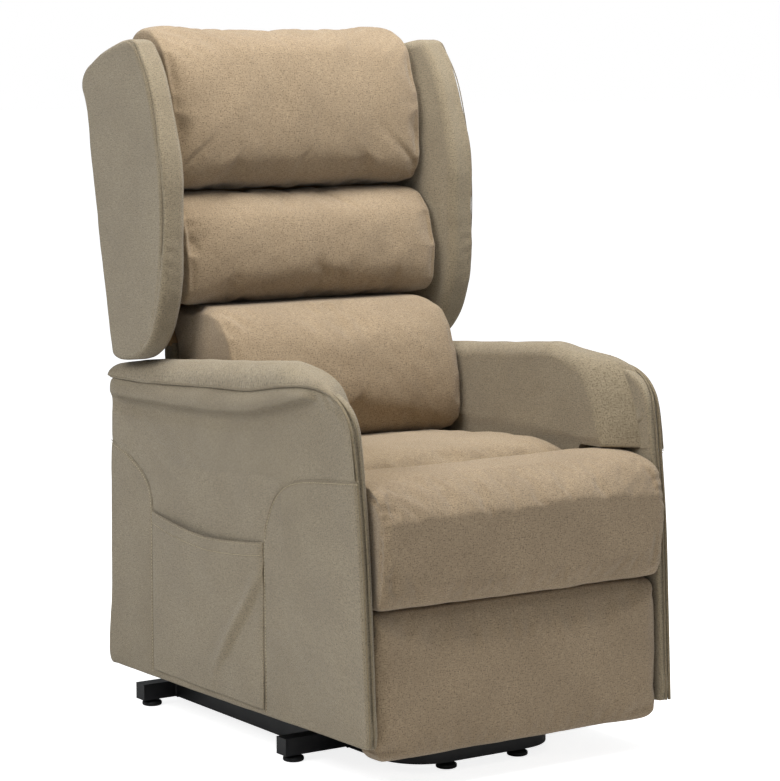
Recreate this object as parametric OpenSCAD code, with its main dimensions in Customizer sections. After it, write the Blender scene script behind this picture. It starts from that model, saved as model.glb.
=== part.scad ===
// Lift recliner: an upholstered armchair that lifts and tilts on a steel base,
// raises its footrest on a remote-centre linkage and lays back its winged backrest.
// Front is -Y, the floor is Z = 0. Lengths along the chair are measured from the
// footrest's front plane, and from_front() sets them about the middle of the chair.

/* [Overall] */
// Width across the wings
chair_w = 627; // [600:1:660]
// Depth from the bolster to the back of the wings
chair_d = 865; // [860:1:900]
// Height to the top of the head cushion
chair_h = 1166; // [1155:1:1200]
// Width over the two side panels
body_w = 589; // [586:1:596]
// Width of one arm with its side panel
arm_w = 61.5; // [60:0.5:63]
// Thickness of a wing
wing_t = 60.5; // [56:0.5:62]
// How far the bolster stands in front of the datum plane
front_overhang = 25; // [22:1:30]

/* [Base] */
// Side of the square base tube
base_tube = 28; // [25:1:30]
// Wall of every square tube
tube_wall = 2; // [1.5:0.5:3]
// Height of the tube's underside above the floor
base_lift = 12; // [11:1:14]
// Distance of the rear cross tube from the front plane
rear_tube_y = 728; // [715:1:735]
// Distance of the middle cross tube from the front plane
mid_tube_y = 269; // [262:1:275]
// How far the cross tubes and their caps stop short of the side panels
cross_tube_inset = 27.5; // [24:0.5:32]
// Distance of each side rail's middle from the seat's side
base_rail_inset = 41; // [39:1:43]
// Half width of the bent front tube, to its middle
front_tube_x = 141; // [130:1:150]
// Distance of the front tube from the front plane
front_tube_y = 97; // [90:1:105]
// Bend radius of the front tube
front_bend_r = 62; // [50:1:70]
// Diameter of a levelling foot
foot_d = 34; // [28:1:40]
// Thickness of a levelling foot
foot_t = 8; // [6:1:9]
// Diameter of the foot's threaded stem
stem_d = 8; // [6:1:10]
// Distance of the outer feet from the ends of their tubes
foot_inset = 20; // [18:1:28]
// Distance of the front feet from the middle
front_foot_x = 70; // [50:1:75]

/* [Lift linkage] */
// Base pivot of the front lift arm, from the front plane
arm_pivot_y = 231; // [230:1:232]
// Height of that pivot
arm_pivot_z = 63; // [62:1:64]
// Base pivot of the rear link, from the front plane
link_pivot_y = 286; // [285:1:287]
// Height of that pivot
link_pivot_z = 94; // [93:1:95]
// Carriage pivot of the front lift arm, from the front plane
carriage_pivot_y = 487; // [486:1:488]
// Height of that pivot
carriage_pivot_z = 85; // [84:1:86]
// Carriage pivot of the rear link, from the front plane
rear_pivot_y = 643; // [642:1:644]
// Height of that pivot
rear_pivot_z = 144; // [143:1:145]
// Turn of the lift arms from closed to raised
lift_turn = 55; // [45:1:55]
// Width of a link bar
link_w = 24; // [20:1:26]
// Diameter of the pivot bolts
bolt_d = 10; // [8:1:10]
// Diameter of the lift torque tube
lift_tube_d = 25; // [22:1:26]
// Length of the lift crank
lift_crank_r = 80; // [78:1:82]

/* [Footrest linkage] */
// Remote centre that the footrest turns about, from the front plane
turn_y = 10; // [9:1:11]
// Height of the remote centre
turn_z = 455; // [454:1:456]
// Pivot of the drive links on the plates, from the front plane
drive_y = 215; // [214:1:216]
// Height of that pivot
drive_z = 262; // [261:1:263]
// Upper pivot of the footrest bracket, from the front plane
bracket_y = 75; // [74:1:76]
// Height of that pivot
bracket_z = 300; // [299:1:301]
// Turn of the footrest from hanging to raised
footrest_turn = 85; // [70:1:85]
// Width of the footrest link bars
foot_link_w = 20; // [18:1:20]
// Thickness of the footrest link bars
foot_link_t = 4; // [3:0.5:4]
// Diameter of the footrest torque tube
foot_tube_d = 22; // [20:1:24]
// Length of the footrest crank
foot_crank_r = 60; // [58:1:62]

/* [Back] */
// Back hinge, from the front plane
hinge_y = 715; // [713:1:717]
// Height of the back hinge
hinge_z = 330; // [329:1:331]
// Turn of the back from upright to reclined
back_turn = 35; // [25:1:35]
// Length of the back crank
back_crank_r = 80; // [78:1:82]
// Lean of the back board
back_lean = 12.4; // [12:0.1:13]

/* [Hidden] */
$fn = 40;
steel = "#1d1d1d";
zinc = "#8d9094";
cloth = "#94876f";
cushion_cloth = "#a8957a";
wood = "#b48a5a";
eps = 0.01;
seat_gap = 0.2;
link_gap = 1;
soft_gap = 2;
arm_gap = 4;
fit = 0.05;
loose_fit = 0.6;
half = 0.5;
quarter = 90;
seat_w = body_w - 2 * arm_w;
cross_tube_w = body_w - 2 * cross_tube_inset;
base_rail_x = seat_w / 2 - base_rail_inset;
foot_x = cross_tube_w / 2 - foot_inset;
wing_inner = chair_w / 2 - wing_t;

// Measures from the front plane are set about the middle of the chair
front_y = front_overhang - chair_d / 2;
module from_front() {
  translate([0, front_y, 0])
    children();
}
module both_sides() {
  children();
  mirror([1, 0, 0])
    children();
}

// A point of the side view turned about the cross axis
function turned(p, a) = [p[0] * cos(a) - p[1] * sin(a), p[0] * sin(a) + p[1] * cos(a)];
function bearing(p, q) = atan2(q[1] - p[1], q[0] - p[0]);

// Bars, pins and tubes, all lying across the chair
module rod_x(x, p, d, length) {
  translate([x, p[0], p[1]])
    rotate([0, quarter, 0])
      cylinder(d = d, h = length);
}
// A flat bar through a row of points: a round boss at each, and straight webs between
web_share = 0.86;
module bar(x, points, t, w) {
  web = w * web_share;
  translate([x, 0, 0])
    rotate([quarter, 0, quarter])
      linear_extrude(t) {
        for (p = points)
          translate(p)
            circle(d = w);
        for (i = [1 : len(points) - 1])
          translate(points[i - 1])
            rotate(bearing(points[i - 1], points[i]))
              translate([0, -web / 2])
                square([norm(points[i] - points[i - 1]), web]);
      }
}
module tube_x(w, y, z, side) {
  translate([-w / 2, y - side / 2, z])
    difference() {
      cube([w, side, side]);
      translate([-eps, tube_wall, tube_wall])
        cube([w + 2 * eps, side - 2 * tube_wall, side - 2 * tube_wall]);
    }
}

// Outlines: corners cut to a soft curve, then fitted to a real box
near_share = 0.75;
far_share = 0.25;
function cut(p) = [
  for (i = [0 : len(p) - 1])
    let (a = p[i], b = p[(i + 1) % len(p)])
      each [near_share * a + far_share * b, far_share * a + near_share * b]
];
function column(p, k) = [for (q = p) q[k]];
function boxed(shares, y, d, z, h) =
  let (
    p = cut(shares),
    y0 = min(column(p, 0)),
    y1 = max(column(p, 0)),
    z0 = min(column(p, 1)),
    z1 = max(column(p, 1))
  )
  [for (q = p) [y + d * (q[0] - y0) / (y1 - y0), z + h * (q[1] - z0) / (z1 - z0)]];
function about(p, c, k) = [for (q = p) c + k * (q - c)];
function swell(u, power, low) = low + (1 - low) * pow(1 - pow(abs(u), power), 1 / power);

function mean(p) = [for (k = [0, 1]) (column(p, k) * [for (q = p) 1]) / len(p)];

// A skin over outlines stationed across the chair; each outline runs up the front,
// over the top and down the rear. The ends are closed by fans about their two hubs
module loft(xs, rings, hubs = []) {
  n = len(rings[0]);
  m = len(xs);
  last = (m - 1) * n;
  ring_points = [for (i = [0 : m - 1]) for (q = rings[i]) [xs[i], q[0], q[1]]];
  hub_points = [for (i = [0 : len(hubs) - 1]) [i == 0 ? xs[0] : xs[m - 1], hubs[i][0], hubs[i][1]]];
  points = concat(ring_points, hub_points);
  flat_caps = [
    [for (j = [n - 1 : -1 : 0]) j],
    [for (j = [0 : n - 1]) last + j]
  ];
  fans = [
    for (j = [0 : n - 1])
      let (k = (j + 1) % n)
        each [[m * n, k, j], [m * n + 1, last + j, last + k]]
  ];
  caps = len(hubs) > 0 ? fans : flat_caps;
  skins = [
    for (i = [0 : m - 2])
      for (j = [0 : n - 1])
        let (a = i * n + j, b = i * n + (j + 1) % n)
          each [[a, b, b + n], [a, b + n, a + n]]
  ];
  polyhedron(points, concat(caps, skins));
}
stations = 10;
function shares_across(n) = [for (i = [0 : n]) sin(quarter * (2 * i / n - 1))];
// A cushion: the outline is fullest in the middle and draws in to rounded ends
module cushion(outline, centre, w, power, low, hub = [0, 0]) {
  us = shares_across(stations);
  inside = hub == [0, 0] ? mean(outline) : hub;
  end_hub = about([inside], centre, low)[0];
  loft(
    [for (u = us) u * w / 2],
    [for (u = us) about(outline, centre, swell(u, power, low))],
    [end_hub, end_hub]
  );
}

// Base
base_top = base_lift + base_tube;
leg_length = mid_tube_y - base_tube / 2 - front_tube_y - front_bend_r - seat_gap;
module base_rear_tube() {
  color(steel)
    from_front()
      difference() {
        tube_x(cross_tube_w, rear_tube_y, base_lift, base_tube);
        both_sides()
          stem_hole([foot_x, rear_tube_y]);
      }
}
module base_mid_tube() {
  color(steel)
    from_front()
      difference() {
        tube_x(cross_tube_w, mid_tube_y, base_lift, base_tube);
        both_sides()
          stem_hole([foot_x, mid_tube_y]);
      }
}
module stem_hole(p) {
  translate([p[0], p[1], base_lift - eps])
    cylinder(d = stem_d + 2 * fit, h = tube_wall + 2 * eps);
}
module base_side_rails() {
  rail_l = rear_tube_y - mid_tube_y - base_tube - 2 * seat_gap;
  inner = base_tube - 2 * tube_wall;
  color(steel)
    from_front()
      both_sides()
        translate([base_rail_x - base_tube / 2, mid_tube_y + base_tube / 2 + seat_gap, base_lift])
          difference() {
            cube([base_tube, rail_l, base_tube]);
            translate([tube_wall, -eps, tube_wall])
              cube([inner, rail_l + 2 * eps, inner]);
          }
}
// The front tube: a straight run, two quarter bends and two legs
module bent_tube(side, over) {
  run = 2 * (front_tube_x - front_bend_r);
  low = base_lift + (base_tube - side) / 2;
  leg_y = front_tube_y + front_bend_r;
  translate([-run / 2, front_tube_y - side / 2, low])
    cube([run, side, side]);
  both_sides() {
    translate([run / 2, leg_y, low])
      rotate([0, 0, -quarter])
        rotate_extrude(angle = quarter)
          translate([front_bend_r - side / 2, 0])
            square([side, side]);
    translate([front_tube_x - side / 2, leg_y, low])
      cube([side, leg_length + over, side]);
  }
}
module base_front_tube() {
  color(steel)
    from_front()
      difference() {
        bent_tube(base_tube, 0);
        bent_tube(base_tube - 2 * tube_wall, eps);
        both_sides()
          stem_hole([front_foot_x, front_tube_y]);
      }
}
cap_t = 3;
cap_plug = 12;
foot_nut_share = 1.7;
module tube_end_caps() {
  plug = base_tube - 2 * tube_wall - 2 * seat_gap;
  color("#151515")
    from_front()
      both_sides()
        for (y = [mid_tube_y, rear_tube_y]) {
          translate([cross_tube_w / 2 + seat_gap, y - base_tube / 2, base_lift])
            cube([cap_t, base_tube, base_tube]);
          translate([cross_tube_w / 2 - cap_plug, y - plug / 2, base_lift + tube_wall + seat_gap])
            cube([cap_plug + cap_t, plug, plug]);
        }
}
module levelling_feet() {
  spots = [
    [foot_x, mid_tube_y],
    [foot_x, rear_tube_y],
    [front_foot_x, front_tube_y]
  ];
  nut_t = base_lift - foot_t - seat_gap;
  nut_d = stem_d * foot_nut_share;
  stem_l = base_lift + 2 * tube_wall;
  color("#131313")
    from_front()
      both_sides()
        for (p = spots)
          translate([p[0], p[1], 0]) {
            cylinder(d = foot_d, h = foot_t);
            cylinder(d = nut_d, h = foot_t + nut_t);
            cylinder(d = stem_d, h = stem_l);
          }
}

// Planes of the lift linkage, from the middle outwards
link_room = 65;
rear_link_x = seat_w / 2 - link_room;
rear_link_t = 6;
pivot_plate_x = rear_link_x + rear_link_t + link_gap;
pivot_plate_t = 6;
lift_arm_x = pivot_plate_x + pivot_plate_t + link_gap;
lift_arm_t = 8;
plate_x = lift_arm_x + lift_arm_t + link_gap;
plate_t = 4;
foot_link_x = plate_x + plate_t + link_gap;
foot_arm_x = foot_link_x + foot_link_t + link_gap;
head_share = 1.7;
head_d = head_share * bolt_d;
head_t = 3;
arm_pivot = [arm_pivot_y, arm_pivot_z];
link_pivot = [link_pivot_y, link_pivot_z];
carriage_pivot = [carriage_pivot_y, carriage_pivot_z];
rear_pivot = [rear_pivot_y, rear_pivot_z];

module pivot_plate() {
  edge = lift_tube_d * 0.85;
  low = base_top + seat_gap;
  outline = [
    [arm_pivot_y - edge, low],
    [arm_pivot_y - edge, arm_pivot_z + edge * half],
    [arm_pivot_y - edge * half, arm_pivot_z + edge],
    [link_pivot_y - edge * half, link_pivot_z + edge * 0.9],
    [link_pivot_y + edge * half, link_pivot_z + edge * 0.9],
    [link_pivot_y + edge, link_pivot_z + edge * half],
    [link_pivot_y + 2 * edge, low]
  ];
  difference() {
    translate([pivot_plate_x, 0, 0])
      rotate([quarter, 0, quarter])
        linear_extrude(pivot_plate_t)
          polygon(outline);
    rod_x(pivot_plate_x - eps, arm_pivot, lift_tube_d + 2 * fit, pivot_plate_t + 2 * eps);
    rod_x(pivot_plate_x - eps, link_pivot, bolt_d + 2 * fit, pivot_plate_t + 2 * eps);
  }
}
module pivot_plates() {
  color(steel)
    from_front()
      both_sides()
        pivot_plate();
}
// Studs headed on the inner side only, flush where the lift arms pass
module stud(x, p, d, length) {
  rod_x(x, p, d, length);
  rod_x(x - head_t, p, head_share * d, head_t + eps);
}
module base_pivot_studs() {
  start = rear_link_x - seat_gap;
  color(zinc)
    from_front()
      both_sides()
        stud(start, link_pivot, bolt_d, pivot_plate_x + pivot_plate_t - start);
}

// Actuators: a motor, a fixed tube and a rod that slides in it along the chair.
// The rod's yoke has an upright slot for the crank's pin
module rod_y(x, y, z, d, length) {
  translate([x, y, z])
    rotate([-quarter, 0, 0])
      cylinder(d = d, h = length);
}
rod_d = 18;
guide_d = 26;
yoke_t = 18;
yoke_l = 34;
wall_t = 8;
ear_t = 5;
pin_d = 10;
bore_play = 0.2;
body_d = 62;
box_l = 52;
box_w = 66;
slot_end = 2;
lift_slot_play = 1;
foot_slot_play = 2;
back_slot_play = 1;
module actuator_tube(x, y, z, length) {
  difference() {
    rod_y(x, y, z, guide_d, length);
    rod_y(x, y - eps, z, rod_d + bore_play, length + 2 * eps);
  }
}
// way = 1 when the rod runs rearwards from its yoke
module yoke_rod(x, pin, z, way, length, slot_w, slot_h) {
  difference() {
    union() {
      translate([x - yoke_t / 2, pin - yoke_l / 2, z - slot_h / 2 - wall_t])
        cube([yoke_t, yoke_l, slot_h + 2 * wall_t]);
      rod_y(x, way > 0 ? pin + yoke_l / 2 - eps : pin - yoke_l / 2 - length + eps, z, rod_d, length);
    }
    translate([x - yoke_t / 2 - eps, pin - slot_w / 2, z - slot_h / 2])
      cube([yoke_t + 2 * eps, slot_w, slot_h]);
  }
}
module motor(x, y, z, length, reach, way) {
  box_y = way > 0 ? y : y + length - box_l;
  difference() {
    union() {
      translate([x - box_w / 2, box_y, z - box_w / 2])
        cube([box_w, box_l, box_w]);
      rod_y(x, y, z, body_d, length);
    }
    rod_y(x, way > 0 ? y - eps : y + length - reach, z, guide_d + 2 * seat_gap, reach + eps);
  }
}
function crank_pin(p, r, a) = p + turned([0, -r], a);
module crank_ears(x, p, q, w) {
  for (side = [-1, 1])
    bar(x + side * (yoke_t / 2 + link_gap + ear_t / 2) - ear_t / 2, [p, q], ear_t, w);
}
module crank_pin_x(x, q) {
  reach = yoke_t + 2 * link_gap + 2 * ear_t;
  rod_x(x - reach / 2, q, pin_d, reach);
}

// Lift drive, on the base
lift_line_z = arm_pivot_z + lift_crank_r * (1 + cos(lift_turn / 2)) / 2;
lift_pin = arm_pivot + turned([0, lift_crank_r], -lift_turn / 2);
lift_slot_w = pin_d + 2 * lift_slot_play;
lift_slot_h = pin_d + lift_crank_r * (1 - cos(lift_turn / 2)) + 2 * slot_end;
lift_tube_y = lift_pin[0] + yoke_l;
lift_tube_l = 230;
lift_motor_l = 150;
lift_motor_y = lift_tube_y + lift_tube_l;
tube_seat = 30;
module lift_motor_bracket() {
  post_t = 6;
  post_w = 60;
  lug_y = lift_motor_y + lift_motor_l + seat_gap;
  foot_y = rear_tube_y - base_tube / 2;
  color(steel)
    from_front() {
      translate([-post_w / 2, lug_y, base_top + seat_gap])
        cube([post_w, post_t, lift_line_z - base_top]);
      translate([-post_w / 2, lug_y, base_top + seat_gap])
        cube([post_w, foot_y + base_tube - lug_y, post_t]);
    }
}
module lift_motor() {
  color("#2a2a2a")
    from_front()
      motor(0, lift_motor_y, lift_line_z, lift_motor_l, tube_seat, 1);
}
module lift_actuator_tube() {
  color(zinc)
    from_front()
      actuator_tube(0, lift_tube_y, lift_line_z, lift_tube_l + tube_seat - seat_gap);
}
module lift_rod() {
  color(zinc)
    from_front()
      yoke_rod(0, lift_pin[0], lift_line_z, 1, lift_tube_l - yoke_l / 2, lift_slot_w, lift_slot_h);
}
module lift_torque_tube() {
  reach = 2 * (lift_arm_x - seat_gap);
  color(steel)
    from_front() {
      rod_x(-reach / 2, arm_pivot, lift_tube_d, reach);
      crank_ears(0, arm_pivot, lift_pin, link_w);
      crank_pin_x(0, lift_pin);
    }
}

// Lift links
module lift_arm() {
  difference() {
    union() {
      bar(lift_arm_x, [arm_pivot, carriage_pivot], lift_arm_t, link_w);
      rod_x(lift_arm_x, arm_pivot, lift_tube_d + base_tube / 2, lift_arm_t);
    }
    rod_x(lift_arm_x - eps, carriage_pivot, bolt_d + 2 * fit, lift_arm_t + 2 * eps);
  }
}
module left_lift_arm() {
  color(steel)
    from_front()
      lift_arm();
}
module right_lift_arm() {
  color(steel)
    from_front()
      mirror([1, 0, 0])
        lift_arm();
}
module rear_link() {
  difference() {
    bar(rear_link_x, [link_pivot, rear_pivot], rear_link_t, link_w);
    rod_x(rear_link_x - eps, link_pivot, bolt_d + 2 * fit, rear_link_t + 2 * eps);
    rod_x(rear_link_x - eps, rear_pivot, bolt_d + 2 * loose_fit, rear_link_t + 2 * eps);
  }
}
module left_rear_link() {
  color(steel)
    from_front()
      rear_link();
}
module right_rear_link() {
  color(steel)
    from_front()
      mirror([1, 0, 0])
        rear_link();
}

// Footrest linkage: two parallelograms in a row, so every link turns at the same
// rate and the footrest turns about the remote centre
turn_centre = [turn_y, turn_z];
drive_pivot = [drive_y, drive_z];
bracket_pivot = [bracket_y, bracket_z];
long_arm = turn_centre - drive_pivot;
drive_arm = bracket_pivot - turn_centre;
knee_pivot = drive_pivot + drive_arm;
idler_share = 0.22;
stay_offset_y = 7;
stay_offset_z = -42;
stay_offset = [stay_offset_y, stay_offset_z];
idler_pivot = drive_pivot + idler_share * long_arm;
idler_end = knee_pivot + idler_share * long_arm;
stay_pivot = knee_pivot + stay_offset;
stay_end = bracket_pivot + stay_offset;
foot_pin_d = 8;
pin_head_t = 2;

// Carriage
rail_h = 25;
rail_drop = 5;
rail_z = hinge_z - rail_drop;
rail_top = rail_z + rail_h;
seat_tube = 25;
front_seat_tube_y = 330;
rear_seat_tube_y = 640;
seat_tube_drop = 12;
seat_tube_z = rail_z - seat_tube - seat_tube_drop;
flange_t = 4;
plate_front = 154;
plate_rear = 690;
module mechanism_plate() {
  lobe = 1.4 * link_w;
  flange_w = seat_w / 2 - plate_x;
  low = 70;
  outline = [
    [plate_front, rail_z],
    [plate_front, idler_pivot[1] - lobe / 2],
    [drive_y - lobe, drive_z - lobe],
    [front_seat_tube_y, drive_z - 2 * lobe],
    [carriage_pivot_y - lobe, low],
    [carriage_pivot_y + lobe, low],
    [rear_pivot_y + lobe, rear_pivot_z - lobe * half],
    [plate_rear, rail_z - 3 * lobe],
    [hinge_y + lobe * half, hinge_z - lobe],
    [hinge_y + lobe * half, hinge_z + lobe * half],
    [plate_rear + seat_gap, hinge_z + lobe * half],
    [plate_rear + seat_gap, rail_z]
  ];
  difference() {
    union() {
      translate([plate_x, 0, 0])
        rotate([quarter, 0, quarter])
          linear_extrude(plate_t)
            polygon(outline);
      translate([plate_x, plate_front, rail_z - flange_t])
        cube([flange_w, plate_rear - plate_front, flange_t]);
    }
    rod_x(plate_x - eps, carriage_pivot, bolt_d + 2 * fit, plate_t + 2 * eps);
    rod_x(plate_x - eps, rear_pivot, bolt_d + 2 * fit, plate_t + 2 * eps);
    rod_x(plate_x - eps, drive_pivot, foot_tube_d + 2 * fit, plate_t + 2 * eps);
    rod_x(plate_x - eps, idler_pivot, foot_pin_d + 2 * fit, plate_t + 2 * eps);
    rod_x(plate_x - eps, [hinge_y, hinge_z], foot_tube_d + 2 * fit, plate_t + 2 * eps);
  }
}
module left_mechanism_plate() {
  color(steel)
    from_front()
      mechanism_plate();
}
module right_mechanism_plate() {
  color(steel)
    from_front()
      mirror([1, 0, 0])
        mechanism_plate();
}
module carriage_bolts() {
  outer = plate_x + plate_t;
  spacer_x = rear_link_x + rear_link_t + link_gap * half;
  color(zinc)
    from_front()
      both_sides() {
        stud(lift_arm_x - seat_gap, carriage_pivot, bolt_d, outer - lift_arm_x + seat_gap);
        stud(rear_link_x - seat_gap, rear_pivot, bolt_d, outer - rear_link_x + seat_gap);
        rod_x(spacer_x, rear_pivot, head_d, plate_x - seat_gap - spacer_x);
        stud(plate_x - seat_gap, idler_pivot, foot_pin_d, foot_link_x + foot_link_t - plate_x + seat_gap);
      }
}
module seat_cross_tubes() {
  w = 2 * (plate_x - seat_gap);
  color(steel)
    from_front() {
      tube_x(w, front_seat_tube_y, seat_tube_z, seat_tube);
      tube_x(w, rear_seat_tube_y, seat_tube_z, seat_tube);
    }
}
side_rail_w = seat_w / 2 - plate_x;
end_rail_w = 22;
front_rail_y = plate_front;
rear_rail_y = 590;
rail_rear = 668;
module seat_side_rails() {
  color(wood)
    from_front()
      both_sides()
        translate([plate_x, plate_front, rail_z + seat_gap])
          cube([side_rail_w, rail_rear - plate_front, rail_h - seat_gap]);
}
module seat_end_rails() {
  w = 2 * (plate_x - seat_gap);
  color(wood)
    from_front()
      for (y = [front_rail_y, rear_rail_y])
        translate([-w / 2, y, rail_z + seat_gap])
          cube([w, end_rail_w, rail_h - seat_gap]);
}
strap_t = 2;
strap_w = 55;
strap_pitch = 80;
strap_half_count = 2;
module seat_webbing() {
  color("#d8cfb8")
    from_front()
      for (i = [-strap_half_count : strap_half_count])
        translate([i * strap_pitch - strap_w / 2, front_rail_y, rail_top + seat_gap])
          cube([strap_w, rear_rail_y + end_rail_w - front_rail_y, strap_t]);
}
seat_shares = [
  [0.00, 0.20], [0.00, 0.62], [0.03, 0.86], [0.12, 0.97], [0.30, 1.00], [0.48, 0.97], [0.64, 0.87],
  [0.98, 0.84], [1.00, 0.80], [1.00, 0.05], [0.97, 0.00], [0.50, 0.00], [0.03, 0.00]
];
seat_front = 150;
seat_rear = 616;
seat_low = rail_top + strap_t + 2 * seat_gap;
seat_crown = 483;
module seat_cushion() {
  w = seat_w - 2 * soft_gap;
  outline = boxed(seat_shares, seat_front, seat_rear - seat_front, seat_low, seat_crown - seat_low);
  color("#b8a787")
    from_front()
      cushion(outline, [(seat_front + seat_rear) / 2, seat_low], w, 5, 0.86);
}
// Brackets that hang the two motors from the cross tubes
foot_line_z = drive_z - foot_crank_r * (1 + cos(footrest_turn / 2)) / 2;
foot_x_line = -85;
back_x_line = 85;
foot_pin = crank_pin(drive_pivot, foot_crank_r, footrest_turn / 2);
back_line_z = hinge_z - back_crank_r * (1 + cos(back_turn / 2)) / 2;
back_pin = crank_pin([hinge_y, hinge_z], back_crank_r, back_turn / 2);
foot_tube_y = foot_pin[0] + yoke_l;
foot_tube_l = 200;
foot_motor_y = foot_tube_y + foot_tube_l;
foot_motor_l = 130;
back_motor_y = 346;
back_motor_l = 120;
back_tube_y = back_motor_y + back_motor_l;
back_tube_l = 150;
post_t = 6;
module motor_brackets() {
  post_w = 50;
  foot_end = foot_motor_y + foot_motor_l + seat_gap;
  front_edge = front_seat_tube_y - seat_tube / 2;
  color(steel)
    from_front() {
      translate([foot_x_line - post_w / 2, foot_end, foot_line_z - post_w / 2])
        cube([post_w, post_t, seat_tube_z - seat_gap - foot_line_z + post_w / 2]);
      translate([foot_x_line - post_w / 2, foot_end, seat_tube_z - seat_gap - post_t])
        cube([post_w, rear_seat_tube_y - foot_end, post_t]);
      translate([back_x_line - post_w / 2, back_motor_y - post_t - seat_gap, back_line_z - post_w / 2])
        cube([post_w, post_t, seat_tube_z - seat_gap - back_line_z + post_w / 2]);
      translate([back_x_line - post_w / 2, front_edge, seat_tube_z - seat_gap - post_t])
        cube([post_w, back_motor_y - seat_gap - front_edge, post_t]);
    }
}
module footrest_motor() {
  color("#2a2a2a")
    from_front()
      motor(foot_x_line, foot_motor_y, foot_line_z, foot_motor_l, tube_seat, 1);
}
module footrest_actuator_tube() {
  color(zinc)
    from_front()
      actuator_tube(foot_x_line, foot_tube_y, foot_line_z, foot_tube_l + tube_seat - seat_gap);
}
module footrest_rod() {
  slot_w = pin_d + 2 * foot_slot_play;
  slot_h = pin_d + foot_crank_r * (1 - cos(footrest_turn / 2)) + 2 * slot_end;
  color(zinc)
    from_front()
      yoke_rod(foot_x_line, foot_pin[0], foot_line_z, 1, foot_tube_l - yoke_l / 2, slot_w, slot_h);
}
module back_motor() {
  color("#2a2a2a")
    from_front()
      motor(back_x_line, back_motor_y, back_line_z, back_motor_l, tube_seat, -1);
}
module back_actuator_tube() {
  start = back_tube_y - tube_seat + seat_gap;
  color(zinc)
    from_front()
      actuator_tube(back_x_line, start, back_line_z, back_tube_y + back_tube_l - start);
}
module back_rod() {
  slot_w = pin_d + 2 * back_slot_play;
  slot_h = pin_d + back_crank_r * (1 - cos(back_turn / 2)) + 2 * slot_end;
  length = back_pin[0] - yoke_l / 2 - back_tube_y - back_crank_r;
  color(zinc)
    from_front()
      yoke_rod(back_x_line, back_pin[0], back_line_z, -1, length, slot_w, slot_h);
}

// Footrest links
module footrest_torque_tube() {
  reach = 2 * (foot_link_x - seat_gap);
  color(steel)
    from_front() {
      rod_x(-reach / 2, drive_pivot, foot_tube_d, reach);
      crank_ears(foot_x_line, drive_pivot, foot_pin, foot_link_w);
      crank_pin_x(foot_x_line, foot_pin);
    }
}
module footrest_drive_links() {
  color(zinc)
    from_front()
      both_sides()
        difference() {
          union() {
            bar(foot_link_x, [drive_pivot, knee_pivot, stay_pivot], foot_link_t, foot_link_w);
            rod_x(foot_link_x, drive_pivot, foot_tube_d + foot_link_t, foot_link_t);
          }
          rod_x(foot_link_x - eps, knee_pivot, foot_pin_d + 2 * fit, foot_link_t + 2 * eps);
          rod_x(foot_link_x - eps, stay_pivot, foot_pin_d + 2 * fit, foot_link_t + 2 * eps);
        }
}
module footrest_idler_links() {
  color(zinc)
    from_front()
      both_sides()
        difference() {
          bar(foot_link_x, [idler_pivot, idler_end], foot_link_t, foot_link_w);
          rod_x(foot_link_x - eps, idler_pivot, foot_pin_d + 2 * fit, foot_link_t + 2 * eps);
          rod_x(foot_link_x - eps, idler_end, foot_pin_d + loose_fit, foot_link_t + 2 * eps);
        }
}
// The long arm carries the pins that the idler and the bracket turn on
module footrest_arms() {
  pin_l = foot_arm_x + foot_link_t - foot_link_x;
  color(zinc)
    from_front()
      both_sides() {
        difference() {
          bar(foot_arm_x, [knee_pivot, bracket_pivot], foot_link_t, foot_link_w);
          rod_x(foot_arm_x - eps, knee_pivot, foot_pin_d + 2 * fit, foot_link_t + 2 * eps);
        }
        rod_x(foot_link_x, idler_end, foot_pin_d, pin_l - eps);
        rod_x(foot_link_x, bracket_pivot, foot_pin_d, pin_l - eps);
      }
}
module footrest_stays() {
  color(zinc)
    from_front()
      both_sides()
        difference() {
          bar(foot_arm_x, [stay_pivot, stay_end], foot_link_t, foot_link_w);
          rod_x(foot_arm_x - eps, stay_pivot, foot_pin_d + 2 * fit, foot_link_t + 2 * eps);
          rod_x(foot_arm_x - eps, stay_end, foot_pin_d + loose_fit, foot_link_t + 2 * eps);
        }
}
module footrest_link_pins() {
  pin_l = foot_arm_x + foot_link_t + seat_gap - foot_link_x;
  color(zinc)
    from_front()
      both_sides()
        for (p = [knee_pivot, stay_pivot]) {
          rod_x(foot_link_x, p, foot_pin_d, pin_l + seat_gap);
          rod_x(foot_arm_x + foot_link_t + seat_gap, p, 1.6 * foot_pin_d, pin_head_t);
        }
}

// Footrest
board_y = 38.5;
board_t = 15;
board_low = 62;
shelf_low = 390;
shelf_t = 11;
shelf_d = 66;
footrest_inset = 23;
footrest_w = body_w - 2 * footrest_inset;
board_inset = 17.5;
board_w = footrest_w - 2 * board_inset;
module footrest_brackets() {
  flange = 4;
  flange_w = 30;
  tail_y = board_y + board_t + seat_gap;
  color(steel)
    from_front()
      both_sides() {
        difference() {
          union() {
            bar(foot_link_x, [bracket_pivot, stay_end], foot_link_t, foot_link_w);
            translate([foot_link_x, tail_y, stay_end[1] - foot_link_w])
              cube([foot_link_t, bracket_y - tail_y, bracket_z - stay_end[1] + 2 * foot_link_w]);
          }
          rod_x(foot_link_x - eps, bracket_pivot, foot_pin_d + 2 * fit, foot_link_t + 2 * eps);
        }
        rod_x(foot_link_x + foot_link_t - eps, stay_end, foot_pin_d, foot_link_t + link_gap);
        translate([foot_link_x, tail_y, stay_end[1] - foot_link_w])
          cube([flange_w, flange, bracket_z - stay_end[1] + 2 * foot_link_w]);
      }
}
module footrest_board() {
  color(wood)
    from_front() {
      translate([-board_w / 2, board_y, board_low])
        cube([board_w, board_t, shelf_low + shelf_t - board_low]);
      translate([-board_w / 2, board_y, shelf_low])
        cube([board_w, board_t + shelf_d, shelf_t]);
    }
}
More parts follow.
